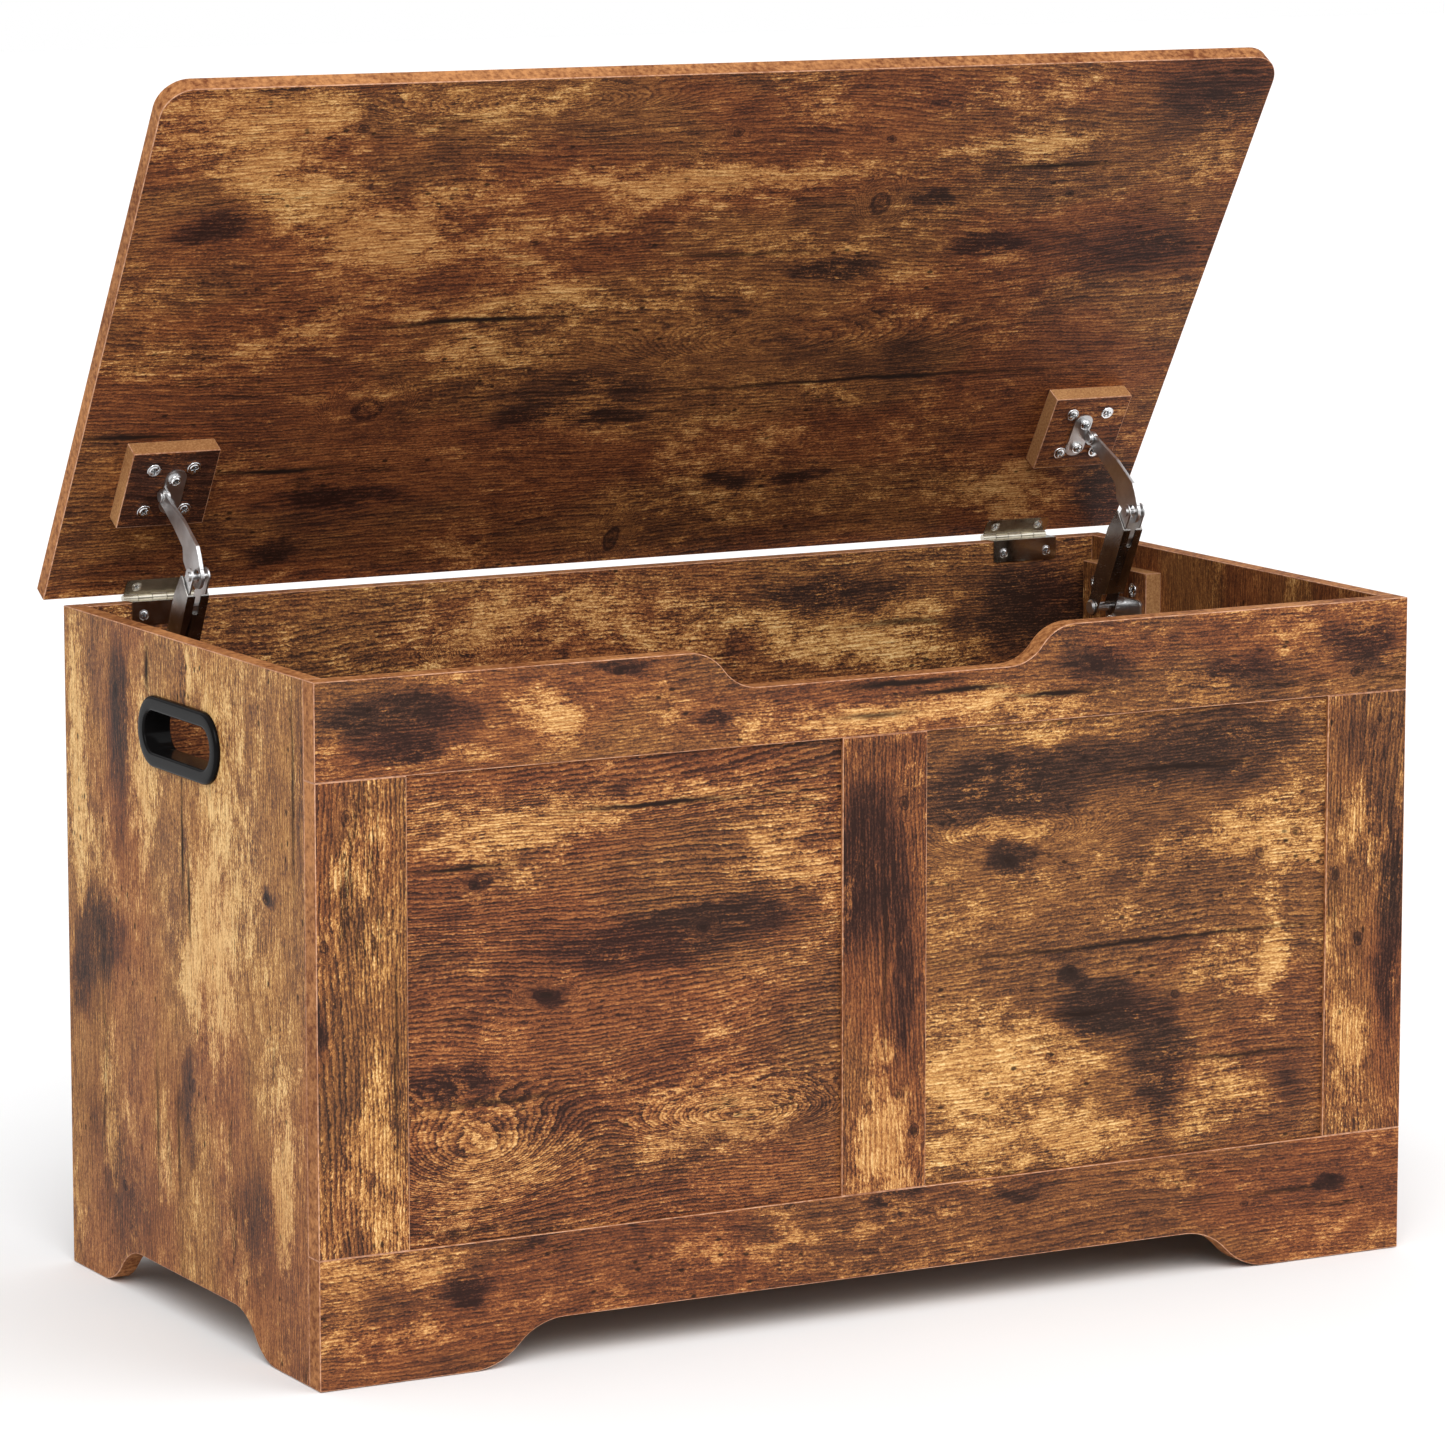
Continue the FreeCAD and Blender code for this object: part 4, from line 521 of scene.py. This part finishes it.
# near-black finish for the screws' cross recesses: painted shade in the recess
SCREW_RECESS_SHADE = metal("screw_recess_painted_shade", (0.10, 0.10, 0.10), (0.18, 0.18, 0.18), 0.4)
BRIGHT_STEEL = metal("bright_steel", (0.60, 0.60, 0.60), (0.74, 0.74, 0.74), 0.34)
CASING_STEEL = metal("casing_steel", (0.20, 0.19, 0.18), (0.33, 0.31, 0.29), 0.24,
                     (200, 200, 900))


# ---------------------------------------------------------------- mesh helpers

def in_scene(name, data):
    """A new object in the scene."""
    item = bpy.data.objects.new(name, data)
    bpy.context.scene.collection.objects.link(item)
    return item


def mesh_from(name, bm, *materials):
    """A mesh made from a bmesh, which is freed, with its material slots."""
    mesh = bpy.data.meshes.new(name)
    bm.to_mesh(mesh)
    bm.free()
    for made in materials:
        mesh.materials.append(made)
    return mesh


def new_piece(name, bm, node, *materials):
    """Finish a mesh that stands for a CAD node and rides on its body."""
    piece = in_scene(name, mesh_from(name, bm, *materials))
    piece.modifiers.new("flat_faces", "WEIGHTED_NORMAL").keep_sharp = True
    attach(piece, body_of_node[node])
    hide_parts(node)
    return piece


WELD = 2e-6  # how close two vertices are that are one
FLAT = math.radians(0.4)  # faces that meet at less than this are one face


def smooth_by_angle(bm, degrees=32):
    """Smooth shading with the sharper edges kept sharp."""
    for face in bm.faces:
        face.smooth = True
    for edge in bm.edges:
        edge.smooth = edge.calc_face_angle(0) < math.radians(degrees)


def welded(node):
    """A node's mesh as a bmesh, with the vertices of neighbouring faces joined."""
    bm = bmesh.new()
    bm.from_mesh(frame["nodes"][node].data)
    bmesh.ops.remove_doubles(bm, verts=bm.verts, dist=WELD)
    return bm


def plain_faced(node):
    """A node's welded mesh without the subdivisions of its flat faces."""
    bm = welded(node)
    bmesh.ops.dissolve_limit(bm, angle_limit=FLAT, use_dissolve_boundaries=False,
                             verts=bm.verts, edges=bm.edges)
    return bm


def connected(items, neighbours):
    """Split mesh elements into lists of connected ones, in the mesh's own order."""
    left, found = set(items), []
    for start in items:
        if start not in left:
            continue
        left.remove(start)
        group, front = [], [start]
        while front:
            item = front.pop()
            group.append(item)
            for other in neighbours(item):
                if other in left:
                    left.remove(other)
                    front.append(other)
        found.append(group)
    return found


def rims(bm, degrees=30):
    """Lists of connected sharp edges."""
    sharp = [edge for edge in bm.edges if edge.calc_face_angle(0) > math.radians(degrees)]
    return connected(sharp, lambda edge: [other for vertex in edge.verts
                                          for other in vertex.link_edges])


def span(edges):
    """The diagonal of a group of edges' box."""
    points = [vertex.co for edge in edges for vertex in edge.verts]
    return (Vector(map(max, *points)) - Vector(map(min, *points))).length


def ease(bm, radius, smallest, segments=2):
    """Round every sharp rim that spans at least smallest. Returns the new faces."""
    edges = [edge for rim in rims(bm) if span(rim) >= smallest for edge in rim]
    made = bmesh.ops.bevel(bm, geom=edges, offset=radius, offset_type="OFFSET",
                           segments=segments, profile=0.5, affect="EDGES",
                           clamp_overlap=False, miter_outer="SHARP", miter_inner="SHARP")
    return made["faces"]


# ---------------------------------------------------------------- boards

# node: grain, across it, and the way that the board faces
BOARDS = {
    "lid_panel": (X, LID_FORWARD, LID_INWARD),
    "left_lid_block": (X, LID_FORWARD, LID_INWARD),
    "right_lid_block": (X, LID_FORWARD, LID_INWARD),
    "left_side_block": (Z, Y, X),
    "right_side_block": (Z, Y, X),
    "left_side_panel": (Z, -Y, X),
    "right_side_panel": (Z, -Y, X),
    "back_panel": (X, Z, Y),
    "bottom_panel": (X, Y, Z),
    "front_top_rail": (X, Z, Y),
    "front_bottom_rail": (X, Z, Y),
    "front_left_stile": (Z, X, Y),
    "front_centre_stile": (Z, X, Y),
    "front_right_stile": (Z, X, Y),
    "front_left_infill": (X, Z, Y),
    "front_right_infill": (X, Z, Y),
}
BOARD_EASE = 0.0005  # rounding of the boards' edges
SMALLEST_RIM = 0.03  # a rim that spans less than this, such as a screw hole's, stays sharp
BLOCKS = ("left_lid_block", "right_lid_block", "left_side_block", "right_side_block")


# the eased edges' slot holds a paler colour that is partly a painted highlight
PRINT, EDGE, LINE = range(3)  # material slots: printed faces, cut edges, eased edges


def board(node):
    """A laminated board with eased edges: printed faces, banded or bare edges, and a paler line on
    the eased edges that is partly a painted highlight.
    """
    axes = BOARDS[node]
    facing = axes[-1]
    bm = plain_faced(node)
    lines = set(ease(bm, BOARD_EASE, SMALLEST_RIM))
    for face in bm.faces:
        # eased faces get the paler line colour, partly a painted highlight
        if face in lines:
            face.material_index = LINE
        else:
            face.material_index = PRINT if abs(face.normal.dot(facing)) > 0.9 else EDGE
    smooth_by_angle(bm)
    low = Vector([min(vertex.co.dot(axis) for vertex in bm.verts) for axis in axes])
    layer = bm.verts.layers.float_vector.new("board")
    for vertex in bm.verts:
        vertex[layer] = Vector([vertex.co.dot(axis) for axis in axes]) - low
    edges = BARE_BOARD if node in BLOCKS else EDGE_BAND
    return new_piece(f"board_{node}", bm, node, board_material(node), edges, EDGE_LINE_AND_HIGHLIGHT)


for node_name in BOARDS:
    board(node_name)


# ---------------------------------------------------------------- grips

GRIP_HALF_STRAIGHT = 0.037
GRIP_RADIUS = 0.013
GRIP_STEPS = 20  # steps round each end
# millimetres outward from the opening and over the board, round one closed section
GRIP_SECTION = [
    (0.0, -6.0), (0.0, 2.0), (0.25, 2.8), (0.9, 3.35), (1.8, 3.5), (5.0, 3.5), (7.6, 3.42),
    (8.5, 3.1), (9.15, 2.5), (9.45, 1.6), (9.5, 0.8), (9.5, 0.0), (2.0, 0.0), (2.0, -6.0),
]


def grip(name, side, outward):
    """One half of a moulded grip liner, swept round the opening."""
    half = "outer" if outward > 0 else "inner"
    node = f"{name}_handle_{half}"
    low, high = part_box(node)
    middle = (low + high) / 2
    panel_low, panel_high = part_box(f"{name}_side_panel")
    face_x = panel_high.x if side * outward > 0 else panel_low.x
    bm = bmesh.new()
    turns = []
    for end, start in ((1, -90), (-1, 90)):
        for step in range(GRIP_STEPS + 1):
            angle = math.radians(start + 180 * step / GRIP_STEPS)
            turns.append((end, math.cos(angle), math.sin(angle)))
    loops = []
    for out, height in GRIP_SECTION:
        radius = GRIP_RADIUS + out * MM
        loop = []
        for end, cosine, sine in turns:
            y = middle.y + end * GRIP_HALF_STRAIGHT + radius * cosine
            z = middle.z + radius * sine
            loop.append(bm.verts.new((face_x + side * outward * height * MM, y, z)))
        loops.append(loop)
    count = len(turns)
    for first, second in zip(loops, loops[1:] + loops[:1]):
        for number in range(count):
            after = (number + 1) % count
            bm.faces.new((first[number], first[after], second[after], second[number]))
    bmesh.ops.recalc_face_normals(bm, faces=bm.faces)
    smooth_by_angle(bm, 40)
    return new_piece(f"grip_{name}_{half}", bm, node, PLASTIC)


for side_name, side_sign in SIDES.items():
    for way in (1, -1):
        grip(side_name, side_sign, way)


# ---------------------------------------------------------------- metalwork

# part, rounding of its edges, smallest rim that is rounded, finish
METALWORK = [
    ("stay_casing", 0.0004, 0.02, CASING_STEEL),
    ("stay_channel", 0.0002, 0.01, BRIGHT_STEEL),
    ("stay_arm", 0.0004, 0.012, BRIGHT_STEEL),
    ("stay_lid_bracket", 0.0002, 0.012, BRIGHT_STEEL),
    ("stay_base_plate", 0.0003, 0.02, BRIGHT_STEEL),
    ("hinge_box_leaf", 0.00015, 0.02, HINGE_NICKEL),
    ("hinge_lid_leaf", 0.00015, 0.02, HINGE_NICKEL),
]


def worked(node, radius, smallest, made):
    """A CAD node's shape with softened edges and a metal finish."""
    bm = plain_faced(node)
    ease(bm, radius, smallest)
    smooth_by_angle(bm)
    return new_piece(f"metal_{node}", bm, node, made)


for side_name in SIDES:
    for part, rounding, smallest_rim, finish in METALWORK:
        worked(f"{side_name}_{part}", rounding, smallest_rim, finish)

# radius and sunken share of the relief, across a screw's face from the middle to the rim
SCREW_FACE = [(0.0, 0.0), (0.10, 0.0), (0.20, 0.0), (0.32, 0.0), (0.44, 0.02), (0.54, 0.06),
              (0.60, 0.16), (0.68, 0.55), (0.78, 0.66), (0.86, 0.50), (0.93, 0.50),
              (0.98, 0.72), (1.0, 1.0)]
# shares of the head's radius
CROSS_REACH = 0.5
CROSS_HALF_WIDTH = 0.12
SHANK_SHARE = 0.42
RIM_SHARE = 0.97  # points farther out than this belong to the head's rim
BEYOND_CROSS = 2  # a share for rows below the face, which the cross doesn't reach
SCREW_SIDES = 48
SCREW_TURN = 2.4  # radians from one screw's cross to the next one's
# a head whose rim is less than this below its top is countersunk
COUNTERSUNK = 0.1 * MM


def islands(bm):
    """The points of each separate lump of a mesh."""
    lumps = connected(list(bm.verts), lambda vertex: [edge.other_vert(vertex)
                                                      for edge in vertex.link_edges])
    return [[vertex.co.copy() for vertex in lump] for lump in lumps]


def screw(bm, points, outward, turn):
    """One cross-head screw in place of a plain one, with a dished ring round its cross, whose faces
    are painted dark as shade.
    """
    side = outward.orthogonal().normalized()
    axes = (side, outward.cross(side))
    flat = [[point.dot(axis) for point in points] for axis in axes]
    centre = sum((axis * (max(row) + min(row)) / 2 for axis, row in zip(axes, flat)), Vector())
    reach = [math.dist((point.dot(axes[0]), point.dot(axes[1])),
                       (centre.dot(axes[0]), centre.dot(axes[1]))) for point in points]
    levels = [point.dot(outward) for point in points]
    radius, top, bottom = max(reach), max(levels), min(levels)
    seat = min(level for level, out in zip(levels, reach) if out > RIM_SHARE * radius)
    flush = top - seat < COUNTERSUNK
    relief = 0.35 * MM if flush else 0.6 * (top - seat)
    sink = 2 * MM if flush else 0.02 * MM
    cross_floor = relief * 0.8 + 0.7 * MM
    shank = SHANK_SHARE * radius
    rows = [(share * radius, top - relief * drop, share) for share, drop in SCREW_FACE]
    below = [(radius, min(seat, rows[-1][1] - 0.01 * MM)), (shank, seat - sink - 0.4 * MM),
             (shank, bottom + shank), (0.2 * shank, bottom)]
    rows += [(out, level, BEYOND_CROSS) for out, level in below]
    loops = []
    for out, level, share in rows:
        loop = []
        for number in range(SCREW_SIDES if out else 1):
            angle = math.tau * number / SCREW_SIDES
            across = [share * math.cos(angle), share * math.sin(angle)]
            in_cross = share <= CROSS_REACH and min(map(abs, across)) < CROSS_HALF_WIDTH
            height = level - (cross_floor if in_cross else 0)
            place = centre + outward * height
            for axis, amount in zip(axes, (math.cos(angle + turn), math.sin(angle + turn))):
                place += axis * out * amount
            loop.append((bm.verts.new(place), in_cross))
        loops.append(loop)
    for first, second in zip(loops, loops[1:]):
        for number in range(SCREW_SIDES):
            after = (number + 1) % SCREW_SIDES
            ring = [second[number], second[after], first[after % len(first)]]
            if len(first) > 1:
                ring.append(first[number])
            face = bm.faces.new([vertex for vertex, sunken in ring])
            # faces inside the cross get the near-black finish: painted shade in the recess
            face.material_index = int(all(sunken for vertex, sunken in ring))
    bm.faces.new([vertex for vertex, sunken in loops[-1]])


def screws(node, outward):
    """All the screws of a node. Outward points out of their heads; None is to the box's middle."""
    source = welded(node)
    bm = bmesh.new()
    for number, points in enumerate(islands(source)):
        middle = sum(points, Vector()) / len(points)
        facing = outward if outward else (-X if middle.x > 0 else X)
        screw(bm, points, facing, SCREW_TURN * number)
    source.free()
    bmesh.ops.recalc_face_normals(bm, faces=bm.faces)
    smooth_by_angle(bm, 50)
    return new_piece(f"screws_{node}", bm, node, SCREW_ZINC, SCREW_RECESS_SHADE)


for node_name, way in (("lid_block_screws", LID_INWARD), ("hinge_lid_screws", LID_INWARD),
                       ("stay_bracket_screws", LID_INWARD), ("hinge_box_screws", -Y),
                       ("side_block_screws", None), ("stay_base_screws", None)):
    screws(node_name, way)

# finish of each CAD node that is shown as it is
CARRIED = {
    "nickel_hinge": HINGE_NICKEL,
    "zinc_screw": SCREW_ZINC,
    "stay_bright_steel": BRIGHT_STEEL,
    "stay_casing_steel": CASING_STEEL,
    "plain_timber": TIMBER,
    "buffer_nylon": NYLON,
    "black_plastic": PLASTIC,
}
for name, item in frame["nodes"].items():
    if not item.hide_render:
        item.data.materials.clear()
        item.data.materials.append(CARRIED[slot_of_node[name]])


# ---------------------------------------------------------------- studio

FLOOR_SIZE = 14
FLOOR_DROP = 0.0005  # gap that keeps the floor from flickering against the feet
CAMERA_AZIMUTH = math.radians(-28.517)
CAMERA_ELEVATION = math.radians(8.943)
CAMERA_DISTANCE = 4.131
CAMERA_AIM = Vector((-0.0091, -0.0012, 0.3494))
CAMERA_LENS = 160.41
CAMERA_FILM = 36


def floor():
    """A plain pale floor, far larger than the picture."""
    bm = bmesh.new()
    bmesh.ops.create_grid(bm, x_segments=1, y_segments=1, size=FLOOR_SIZE)
    made, g, shader = material("studio_floor")
    place = g.add("ShaderNodeTexCoord").outputs["Object"]
    faint = g.noise(place, (3, 3, 3), 2)
    g.give(shader.inputs["Base Color"], g.mix(faint, (0.86, 0.86, 0.86), (0.90, 0.90, 0.90)))
    shader.inputs["Roughness"].default_value = 0.9
    shader.inputs["Specular IOR Level"].default_value = 0.1
    item = in_scene("studio_floor", mesh_from("studio_floor", bm, made))
    item.location.z = -FLOOR_DROP


def world():
    """White for the camera, and a soft graded dome for the light and the reflections."""
    made = bpy.data.worlds.new("studio")
    bpy.context.scene.world = made
    made.use_nodes = True
    g = Graph(made.node_tree)
    background = made.node_tree.nodes["Background"]
    sky = g.add("ShaderNodeSeparateXYZ")
    g.give(sky.inputs[0], g.add("ShaderNodeTexCoord").outputs["Generated"])
    dome = g.ramp(g.math("MULTIPLY_ADD", sky.outputs["Z"], 0.5, 0.5),
                  [(0.0, (0.55, 0.55, 0.55)), (0.5, (0.42, 0.42, 0.43)),
                   (0.75, (0.75, 0.75, 0.76)), (1.0, (0.95, 0.95, 0.95))])
    seen = g.add("ShaderNodeLightPath").outputs["Is Camera Ray"]
    g.give(background.inputs["Color"], g.mix(seen, dome, (1.0, 1.0, 1.0)))


def point_along(item, direction):
    """Turn a light or a camera to look along a direction."""
    item.rotation_mode = "QUATERNION"
    item.rotation_quaternion = direction.to_track_quat("-Z", "Y")


def sun(name, towards, strength, angle):
    """A soft sun lamp. The angle is its width in the sky, in degrees."""
    data = bpy.data.lights.new(name, "SUN")
    data.energy = strength
    data.angle = math.radians(angle)
    point_along(in_scene(name, data), Vector(towards))


def camera():
    """The camera at the photograph's place, with its long lens."""
    level = math.cos(CAMERA_ELEVATION)
    back = Vector((math.sin(CAMERA_AZIMUTH) * level, -math.cos(CAMERA_AZIMUTH) * level,
                   math.sin(CAMERA_ELEVATION)))
    data = bpy.data.cameras.new("camera")
    data.lens = CAMERA_LENS
    data.sensor_width = CAMERA_FILM
    data.clip_end = 60
    item = in_scene("camera", data)
    item.location = CAMERA_AIM + back * CAMERA_DISTANCE
    point_along(item, -back)
    bpy.context.scene.camera = item


floor()
world()
sun("key", (0.35, 0.75, -0.75), 1.7, 40)
sun("fill", (-0.7, 0.55, -0.6), 0.9, 60)
camera()
bpy.context.scene.view_settings.view_transform = "Standard"
